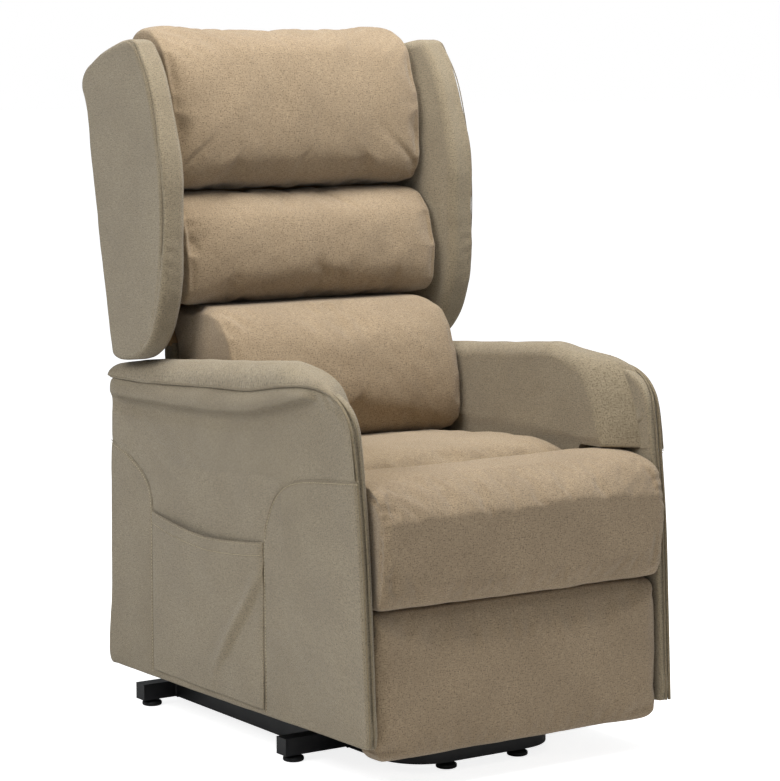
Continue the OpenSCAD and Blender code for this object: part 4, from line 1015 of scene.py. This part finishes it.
skirt_outline = curve_through(
    [
        (0.0206, 0.053), (0.0203, 0.10), (0.0203, 0.17), (0.0203, 0.24), (0.0206, 0.282), (0.025, 0.2845),
        (0.030, 0.2835), (0.0318, 0.280), (0.0321, 0.24), (0.0321, 0.17), (0.0321, 0.10), (0.0318, 0.055),
        (0.030, 0.0515), (0.025, 0.0505),
    ],
    0.006,
)
skirt_centre = np.array([0.0262, 0.168])
skirt = stuffed(
    "back_skirt_cover", skirt_outline, skirt_centre, body_weave_painted_shade, "backrest",
    half=0.2080, power=20, low=0.97, dome=0.0004, step=0.007,
)
spots = places(skirt)
spots[:, 1] = np.where(spots[:, 1] > 0.026, spots[:, 1] + 0.0006 * uneven(spots, 0.10, 63), spots[:, 1])
spots[:, 1] = np.clip(spots[:, 1], 0.0202, 0.0328)
places(skirt, leaning(spots))
finer(skirt)
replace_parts(skirt, "back_skirt")

# Arms: a fixed core and a padded top under one cover. The cloth comes up the inner face, rolls over
# the crown, wraps down the nose at the front and runs out to the corded seam on the outer panel.

welt_line = curve_through(
    side_view(
        (743, 571), (673, 573), (571, 578), (448, 587), (317, 594), (228, 608), (163, 615), (119, 616),
        (81, 609), (53, 595), (34, 573), (22, 529), (16, 487),
    ),
    0.003,
    closed=False,
)
crown_line = side_view((785, 592), (700, 605), (547, 619), (360, 634), (243, 645), (186, 637))[::-1]
arm_hub = side_view((300, 560))[0]


def over_arm(x, outward, drop):
    """The arm's outline at x in mm: its top is the crown line, mixed with the corded seam's line as cos and
    sin of the way over the roll, less the drop; its front wraps down from there to z = 487.5."""
    welt_top = welt_line[welt_line[:, 1].argmax() :: -1]
    spot = np.linspace(0.3775, -0.2215, 30)
    crown = np.interp(spot, crown_line[:, 0], crown_line[:, 1])
    welt = np.interp(spot, welt_top[:, 0], welt_top[:, 1])
    top = welt * (1 - outward) + crown * outward - drop
    front = (24 + 1.05 * (294.5 - x)) / 1000 - front_plane
    run = outward * np.array([-2, 12, 31, 54, 98, 130]) + (1 - outward) * np.array([-8, -2, 10, 29, 57, 95])
    fall = outward * np.array([0, 97, 53, 22, 4, 0]) + (1 - outward) * np.array([0, 87, 43, 21, 7, 0])
    run, fall = run / 1000 + front, fall / 1000
    level = np.interp(run[-1], spot[::-1], top[::-1])
    nose = np.stack([run, level - fall], 1)[::-1]
    nose[-1, 1] = 0.4875
    keep = spot > run[-1] + 0.02
    upper = curve_through(np.vstack([np.stack([spot, top], 1)[keep], nose]), 0.001, closed=False)
    upper = upper[np.linspace(0, len(upper) - 1, 140).astype(int)]
    if x < 275:
        lower = side_view((152, 486), (152, 80), (770, 80), (771, 555), (785, 562))
        lower = np.vstack([upper[-1], lower, upper[0]])
        lower = at_lengths(lower, np.linspace(0, run_along(lower)[-1], 142)[1:-1])
    else:
        back = welt_line[::-1] - [0, 0.0012]
        back[:, 1] = np.maximum(back[:, 1], 0.4885)
        lower = at_lengths(back, np.linspace(0, run_along(back)[-1], 140))
    return np.vstack([upper, lower])


turn = np.linspace(0, np.pi / 2, 9)
arm_rows = [(229 + 24 * (1 - math.cos(t)), 1.0, 0.024 * (1 - math.sin(t))) for t in turn]
roll_x, roll_r = 262, 36
arm_rows += [(258, 1.0, 0.0), (roll_x, 1.0, 0.0), (267, math.cos(math.asin(5 / roll_r)), 0.0)]
arm_rows += [(x, math.cos(math.asin(over / roll_r)), 0.0) for x, over in ((271.5, 9.5), (274.8, 12.8))]
over_roll = np.arcsin(np.array([13.3, 17, 21, 25, 29]) / roll_r)
arm_rows += [(roll_x + roll_r * math.sin(t), math.cos(t), 0.0) for t in over_roll]
arm_rows += [(roll_x + roll_r * math.sin(t), math.cos(t), 0.0) for t in np.radians([62, 71, 80, 90])]
rings = [at_x(x / 1000, over_arm(x, outward, drop)) for x, outward, drop in arm_rows]
middle = np.insert(arm_hub, 0, rings[0][0, 0])
face_rings = 34
rings = [middle + share * (rings[0] - middle) for share in np.linspace(0.03, 0.97, face_rings)] + rings
rings = np.array(rings)
for side, hand in both_sides:
    arm = skin(f"{hand}_arm_cover", rings, face_rings, [middle], body_weave_painted_shade, "carriage", zipped=True)
    spots = places(arm)
    spots = rumpled(arm, spots, (0.0009, 0.12), (0.0003, 0.04), 71)
    spots[:, 0] = np.maximum(spots[:, 0], np.interp(spots[:, 2], [0.482, 0.500], [0.2336, 0.2289]))
    spots[:, 0] = np.minimum(spots[:, 0], 0.2985)
    mirrored(arm, spots, side)
    finer(arm)
    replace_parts(arm, f"{hand}_arm_pad", f"{hand}_arm_core")

# Outer side panels: cloth over a thin foam and a board. Below the corded seam the cloth is stuffed into a
# roll that hangs over the panel; two curved seams run down from it, each turned under and topstitched.

panel_outline = curve_through(
    side_view(
        (779, 529), (782, 420), (785, 300), (788, 179), (793, 140), (796, 107), (796, 84), (790, 71),
        (770, 70.6), (700, 71), (600, 72), (450, 73.5), (300, 76), (150, 78.5), (40, 80), (0, 80.5),
        (-13, 83), (-15.5, 92), (-13, 140), (-6, 251), (2, 371), (9, 440), (16, 487), (22, 529), (34, 573),
        (53, 595), (81, 609), (119, 616), (163, 615), (228, 608), (317, 594), (448, 587), (571, 578),
        (673, 573), (743, 571), (768, 571), (778, 566), (780, 550),
    ),
    0.0062,
)
panel_hub = side_view((390, 340))[0]
shadow_line = side_view(
    (128, 598), (170, 591), (240, 573), (318, 556), (430, 546), (539, 542), (640, 540), (779, 538)
)
welt_across = welt_line[: welt_line[:, 1].argmax() + 1][::-1]
shares = np.concatenate([1 - 0.014 * np.arange(1, 15), np.linspace(0.78, 0.03, 22)])
turn = np.linspace(0, np.pi / 2, 7)


def drawn(outline, x, inset_share):
    """A ring at x, the outline drawn in about the panel's middle."""
    return at_x(x, panel_hub + inset_share * (outline - panel_hub))


panel_in, panel_out = 0.2755, 0.2945
inner_rings = 12
panel_rings = [drawn(panel_outline, panel_in, s) for s in np.linspace(0.04, 0.94, inner_rings)]
panel_rings += [drawn(panel_outline, panel_in, 0.988), drawn(panel_outline, 0.2765, 0.997)]
panel_rings += [drawn(panel_outline, x, 1.0) for x in np.linspace(0.279, 0.2885, 4)]
panel_rings += [
    drawn(panel_outline, 0.2885 + 0.006 * math.sin(t), 1 - 0.022 * (1 - math.cos(t))) for t in turn[1:]
]
panel_rings += [drawn(panel_outline, panel_out, s * 0.978) for s in shares]
panel_rings = np.array(panel_rings)
panel_ends = [[panel_in, *panel_hub], [panel_out, *panel_hub]]
front_seam = curve_through(
    side_view(
        (8, 487.5), (60, 482), (110, 477), (166, 470), (215, 456), (244, 435), (262, 410), (275, 380),
        (281, 345), (280, 300), (278, 220), (277, 150), (276, 83),
    ),
    0.003,
    closed=False,
)
rear_seam = curve_through(
    side_view(
        (778, 461), (750, 454), (721, 446), (698, 436), (676, 425), (646, 400), (637, 380), (634, 359),
        (634, 300), (634, 200), (634, 77),
    ),
    0.003,
    closed=False,
)


def panel_face(points):
    """How far the outer face stands out at (y, z): a roll of 9.6 mm, sin(pi t^0.6)^0.6 between the shadow
    line t = 0 and the corded seam t = 1, fading out to the front, with a shallow hollow under it."""
    y, z = points[:, 0], points[:, 1]
    below = np.interp(y, shadow_line[:, 0], shadow_line[:, 1])
    above = np.interp(y, welt_across[:, 0], welt_across[:, 1])
    t = (z - below) / (above - below + 1e-9)
    fade = np.clip((y + front_plane - 0.100) / 0.060, 0, 1)
    fade = fade * fade * (3 - 2 * fade) * np.clip((0.3705 - y) / 0.03, 0, 1) ** 0.5
    roll = 0.0096 * np.sin(np.pi * np.clip(t, 0, 1) ** 0.6) ** 0.6
    hollow = 0.0062 * bell(z - below + 0.011, 0.013) * (t < 0.1)
    return (roll * ((t > 0) & (t < 1)) - hollow) * fade


seam_thread = woven("seam_thread", (206, 191, 160), (222, 208, 178), (182, 166, 136), (170, 154, 124), 0.1)


def stitches(name, line, facing, material, body, pitch=0.0055, long=0.0036, thick=0.0006):
    """A row of lockstitches along a line: each a thread with 6 sides, bowed as 1 - s^2 and diving in at
    its ends."""
    starts = np.arange(pitch / 2, run_along(line)[-1] - long, pitch)
    s = np.linspace(-1, 1, 5)
    spine = at_lengths(line, starts[:, None] + (s + 1) / 2 * long)
    facing = np.asarray(facing, float)
    spine = spine + ((1 - s**2) * thick * 1.4)[None, :, None] * facing
    ahead = np.gradient(spine, axis=1)
    ahead /= np.linalg.norm(ahead, axis=2)[..., None]
    out = facing - (ahead @ facing)[..., None] * ahead
    out /= np.linalg.norm(out, axis=2)[..., None]
    aside = np.cross(ahead, out)
    a = np.arange(6) * np.pi / 3
    r = thick * np.sqrt(np.clip(1 - 0.8 * s**2, 0, 1))[None, :, None, None]
    ring = spine[:, :, None] + r * (
        np.cos(a)[None, None, :, None] * out[:, :, None] + np.sin(a)[None, None, :, None] * aside[:, :, None]
    )
    count = len(starts)
    points = np.concatenate([ring.reshape(count, -1, 3), spine[:, [0]], spine[:, [-1]]], 1)
    quads, fans = tube_faces(len(s), len(a))
    base = points.shape[1] * np.arange(count)
    all_quads = (quads[None] + base[:, None, None]).reshape(-1, 4)
    all_fans = (fans[None] + base[:, None, None]).reshape(-1, 3)
    points = points.reshape(-1, 3)
    uv = points[np.append(all_quads.ravel(), all_fans.ravel())][:, 1:]
    return piece_of(name, points, all_quads.tolist() + all_fans.tolist(), uv, material, body)


arm_puckers = [
    [(0.297, 0.168, 0.594), (0.298, 0.140, 0.590), (0.297, 0.112, 0.587)],
    [(0.297, 0.104, 0.611), (0.298, 0.092, 0.600), (0.297, 0.078, 0.586)],
    [(0.297, 0.128, 0.608), (0.298, 0.118, 0.598), (0.297, 0.110, 0.592)],
    [(0.297, 0.078, 0.596), (0.297, 0.060, 0.588), (0.297, 0.042, 0.577)],
]
cord = curve_through(
    side_view(
        (772, 572), (743, 572.5), (673, 574), (571, 579), (448, 588), (317, 595), (228, 609), (163, 616),
        (119, 617), (81, 610), (53, 596), (33, 574), (21, 529), (15, 487), (1, 371), (-7, 251), (-17, 84),
    ),
    0.004,
    closed=False,
)
cord_x = np.interp(cord[:, 1], [0.084, 0.487, 0.575, 0.610], [0.2905, 0.2925, 0.2955, 0.2965])
nose_cord = curve_through(
    side_view(
        (119, 618), (84, 612), (54, 598), (31, 575), (19, 529), (13, 487), (-1, 371), (-9, 251), (-18, 84)
    ),
    0.004,
    closed=False,
)
nose_x = np.interp(nose_cord[:, 1], [0.084, 0.487, 0.560, 0.612], [0.2835, 0.2850, 0.2850, 0.2925])
seam_x, thread_x, stitch_gap = 0.2940, 0.2944, 0.0042
for side, hand in both_sides:
    panel = skin(f"{hand}_side_panel_cover", panel_rings, inner_rings, panel_ends, body_weave_painted_shade, "carriage")
    spots = places(panel)
    outer = spots[:, 0] > 0.289
    lift = panel_face(spots[:, 1:])
    flat = spots[:, 1:]
    near_seam = np.minimum(nearest(flat, front_seam[::8])[0], nearest(flat, rear_seam[::8])[0])
    lift -= 0.0013 * bell(near_seam, 0.005)
    lift += 0.0008 * uneven(spots, 0.13, 81) + 0.0003 * uneven(spots, 0.04, 82)
    spots[:, 0] += np.where(outer, lift, 0)
    places(panel, spots)
    puckers = [[(x, y - front_plane, z) for x, y, z in fold] for fold in arm_puckers]
    pressed(panel, puckers, width=0.0055, depth=0.0030)
    mirrored(panel, places(panel), side)
    finer(panel)
    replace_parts(panel, f"{hand}_side_panel")
    bead(f"{hand}_panel_cord", [at_x(side * cord_x, cord)], 0.0028, welt_weave, "carriage", around=10)
    bead(f"{hand}_nose_cord", [at_x(side * nose_x, nose_cord)], 0.0016, welt_weave, "carriage", around=8)
    for label, seam, away in (("front", front_seam, -1), ("rear", rear_seam, 1)):
        path = at_x(side * seam_x, seam)
        bead(f"{hand}_{label}_panel_seam", [path], 0.0007, body_weave_painted_shade, "carriage", around=6)
        across = np.gradient(seam, axis=0)
        across = np.stack([-across[:, 1], across[:, 0]], 1)
        across /= np.linalg.norm(across, axis=1)[:, None]
        path = at_x(side * thread_x, seam + across * stitch_gap * away)
        stitches(f"{hand}_{label}_panel_stitches", path, (side, 0, 0), seam_thread, "carriage")

# Pocket on the right-hand panel: one layer of cloth, hemmed along its top and caught into the two
# panel seams. Its mouth stands a little open and the cloth falls in one slanting fold.

pocket_top = side_view(
    (282, 356.5), (318, 351.5), (351, 348), (400, 344), (445, 342), (495, 344), (543, 348), (590, 353),
    (632, 358.5)
)
fold_line = side_view((286, 305), (319, 257), (366, 201), (407, 152), (432, 125))
wide, high = 72, 58
u, v = np.meshgrid(np.linspace(0, 1, wide), np.linspace(0, 1, high), indexing="ij")
mouth = curve_through(pocket_top, 0.004, closed=False)
pocket_front, pocket_rear, pocket_foot, pocket_x = 0.2795, 0.6335, 0.0865, 0.2952
y = -front_plane + pocket_front + u * (pocket_rear - pocket_front)
z_top = np.interp(y, mouth[:, 0], mouth[:, 1])
z = pocket_foot + v * (z_top - pocket_foot)
flat = np.stack([y.ravel(), z.ravel()], 1)
from_fold, fold_share = nearest(flat, curve_through(fold_line, 0.006, closed=False))
before_fold = np.interp(flat[:, 1], fold_line[::-1, 1], fold_line[::-1, 0]) - flat[:, 0]
fading = np.sin(np.pi * np.clip(fold_share, 0.02, 0.98)) ** 0.5
ridge, hollow = bell(from_fold, 0.013) * fading, bell(before_fold - 0.022, 0.018) * fading
stand = 0.0062 * np.sin(np.pi * u.ravel()) ** 0.7 * v.ravel() ** 1.6 + 0.0085 * ridge - 0.0050 * hollow
stand += 0.0009 * (uneven(at_x(0, flat), 0.09, 91) + 1) * np.sin(np.pi * u.ravel()) ** 0.5
hem = np.clip((flat[:, 1] - z_top.ravel() + 0.021) / 0.0015, 0, 1)
thick = 0.0013 + 0.0009 * hem
caught = bell(u.ravel(), 0.016) + bell(1 - u.ravel(), 0.016)
inner_x = pocket_x + np.clip(stand, 0, 0.0105) - 0.0010 * caught
front_side = np.column_stack([-(inner_x + thick), flat])
rear_side = np.column_stack([-inner_x, flat])
index = np.arange(wide * high).reshape(wide, high)
a, b, c, d = index[:-1, :-1].ravel(), index[1:, :-1].ravel(), index[1:, 1:].ravel(), index[:-1, 1:].ravel()
front_quads = np.stack([a, b, c, d], -1)
rear_quads = np.stack([d, c, b, a], -1) + wide * high
rim = np.concatenate([index[:, 0], index[-1, 1:], index[-2::-1, -1], index[0, -2:0:-1]])
after = np.roll(rim, -1)
rim_quads = np.stack([after, rim, rim + wide * high, after + wide * high], -1)
pocket_points = np.vstack([front_side, rear_side])
pocket_faces = np.vstack([front_quads, rear_quads, rim_quads])
pocket_uv = pocket_points[pocket_faces.ravel()][:, 1:]
pocket = piece_of(
    "side_pocket_cloth", pocket_points, pocket_faces.tolist(), pocket_uv, body_weave_painted_shade, "carriage"
)
finer(pocket)
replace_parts(pocket, "side_pocket")


def on_pocket(y, drop):
    """Places on the pocket's front a given way below its mouth, at the height of its cloth."""
    z = np.interp(y, mouth[:, 0], mouth[:, 1]) - drop
    grid = ((flat[None, :, 0] - y[:, None]) ** 2 + (flat[None, :, 1] - z[:, None]) ** 2).argmin(1)
    return np.column_stack([front_side[grid, 0] - 0.0002, y, z])


hem_y = np.linspace(-front_plane + 0.284, -front_plane + 0.630, 160)
stitches("pocket_hem_stitches", on_pocket(hem_y, 0.0215), (-1, 0, 0), seam_thread, "carriage")
stitches("pocket_mouth_stitches", on_pocket(hem_y, 0.0030), (-1, 0, 0), seam_thread, "carriage", thick=0.0003)

# Rear panel: a cloth-covered board between the two side panels, behind the mechanism.

rear_low, rear_high = low_high("rear_panel")
rear_half, rear_near, rear_foot = (rear_high[0] - rear_low[0]) / 2, rear_low[1], rear_low[2]
rear_far, rear_top = rear_high[1:]
rear_centre = (rear_low[1:] + rear_high[1:]) / 2
rear_below, rear_above = rear_centre[1] - 0.08, rear_centre[1] + 0.08
edge_in, edge_up, edge_round = 0.0015, 0.003, 0.0005
rear_outline = curve_through(
    [
        (rear_near, rear_foot + edge_up), (rear_near, rear_below), (rear_near, rear_above),
        (rear_near, rear_top - edge_up), (rear_near + edge_in, rear_top - edge_round),
        (rear_far - edge_in, rear_top - edge_round), (rear_far, rear_top - edge_up), (rear_far, rear_above),
        (rear_far, rear_below), (rear_far, rear_foot + edge_up), (rear_far - edge_in, rear_foot + edge_round),
        (rear_near + edge_in, rear_foot + edge_round),
    ],
    0.008,
)
rear = stuffed(
    "rear_panel_cover", rear_outline, rear_centre, body_weave_painted_shade, "carriage",
    half=rear_half - 0.0006, power=24, low=0.97, dome=0.0004, step=0.0095,
)
spots = places(rear)
spots[:, 1] += np.where(spots[:, 1] > rear_centre[0], 0.0007 * uneven(spots, 0.11, 95), 0)
places(rear, spots)
finer(rear)
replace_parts(rear, "rear_panel")

# Studio: a pale sheet of floor, a large soft lamp overhead, another high at the side and an even white
# surround. The floor shows white to the camera and keeps the chair's soft shadow.


def studio_white():
    """Floor: a diffuse sheet, brightened where the camera sees it so that only the chair's shadow is left."""
    material = bpy.data.materials.new("studio_floor")
    material.use_nodes = True
    tree = material.node_tree
    tree.nodes.clear()
    path = add(tree, "ShaderNodeLightPath")
    sheet = add(tree, "ShaderNodeBsdfDiffuse", {"Color": (0.8, 0.8, 0.8, 1.0)})
    glow = add(tree, "ShaderNodeEmission", {"Color": (1.0, 1.0, 1.0, 1.0), "Strength": 0.84})
    both = add(tree, "ShaderNodeAddShader")
    tree.links.new(sheet.outputs["BSDF"], both.inputs[0])
    tree.links.new(glow.outputs["Emission"], both.inputs[1])
    mix = add(tree, "ShaderNodeMixShader")
    tree.links.new(path.outputs["Is Camera Ray"], mix.inputs[0])
    tree.links.new(sheet.outputs["BSDF"], mix.inputs[1])
    tree.links.new(both.outputs["Shader"], mix.inputs[2])
    out = add(tree, "ShaderNodeOutputMaterial")
    tree.links.new(mix.outputs["Shader"], out.inputs["Surface"])
    return material


def lamp(name, place, aim, size, power, colour):
    """A square soft lamp facing a point."""
    light = bpy.data.lights.new(name, "AREA")
    light.shape = "SQUARE"
    light.size = size
    light.energy = power
    light.color = colour
    made = bpy.data.objects.new(name, light)
    bpy.context.scene.collection.objects.link(made)
    made.location = place
    made.rotation_euler = (Vector(aim) - Vector(place)).to_track_quat("-Z", "Y").to_euler()
    return made


floor_mesh = bpy.data.meshes.new("studio_floor")
floor_mesh.from_pydata([(-40, -40, 0), (40, -40, 0), (40, 40, 0), (-40, 40, 0)], [], [(0, 1, 2, 3)])
floor_mesh.materials.append(studio_white())
floor = bpy.data.objects.new("studio_floor", floor_mesh)
bpy.context.scene.collection.objects.link(floor)
top = lamp("top_lamp", (0.2, -0.4, 2.7), (0.0, 0.0, 0.6), 1.4, 66.0, (1.0, 0.985, 0.955))
side = lamp("side_lamp", (-2.6, -0.4, 2.7), (0.0, 0.0, 0.5), 1.6, 58.0, (0.98, 0.99, 1.0))

world = bpy.data.worlds.new("studio_surround")
world.use_nodes = True
tree = world.node_tree
tree.nodes.clear()
path = add(tree, "ShaderNodeLightPath")
seen = add(
    tree,
    "ShaderNodeMath",
    {0: path.outputs["Is Camera Ray"], 1: path.outputs["Is Transmission Ray"]},
    operation="MAXIMUM",
)
surround = add(tree, "ShaderNodeBackground", {"Color": (0.93, 0.97, 1.0, 1.0), "Strength": 0.33})
plain = add(tree, "ShaderNodeBackground", {"Color": (1.0, 1.0, 1.0, 1.0), "Strength": 1.0})
mix = add(tree, "ShaderNodeMixShader")
tree.links.new(seen.outputs["Value"], mix.inputs[0])
tree.links.new(surround.outputs["Background"], mix.inputs[1])
tree.links.new(plain.outputs["Background"], mix.inputs[2])
out = add(tree, "ShaderNodeOutputWorld")
tree.links.new(mix.outputs["Shader"], out.inputs["Surface"])
bpy.context.scene.world = world
bpy.context.scene.view_settings.view_transform = "Standard"

# Camera, where the photograph was taken from: 34.2 degrees to the chair's right and 7.1 above. Its
# sensor lies along the photograph's longer side, the height.

camera_data = bpy.data.cameras.new("photograph")
sensor, focal_length_px, photo_height_px = 36.0, 2784.88, 781
camera_data.sensor_width = sensor
camera_data.lens = sensor * focal_length_px / photo_height_px
camera_data.clip_end = 100.0
camera = bpy.data.objects.new("photograph", camera_data)
bpy.context.scene.collection.objects.link(camera)
azimuth, elevation = math.radians(34.194), math.radians(7.073)
looking = Vector(
    (math.sin(azimuth) * math.cos(elevation), math.cos(azimuth) * math.cos(elevation), -math.sin(elevation))
)
camera.location = (-2.55898, -3.81533, 1.13351)
camera.rotation_euler = looking.to_track_quat("-Z", "Y").to_euler()
bpy.context.scene.camera = camera
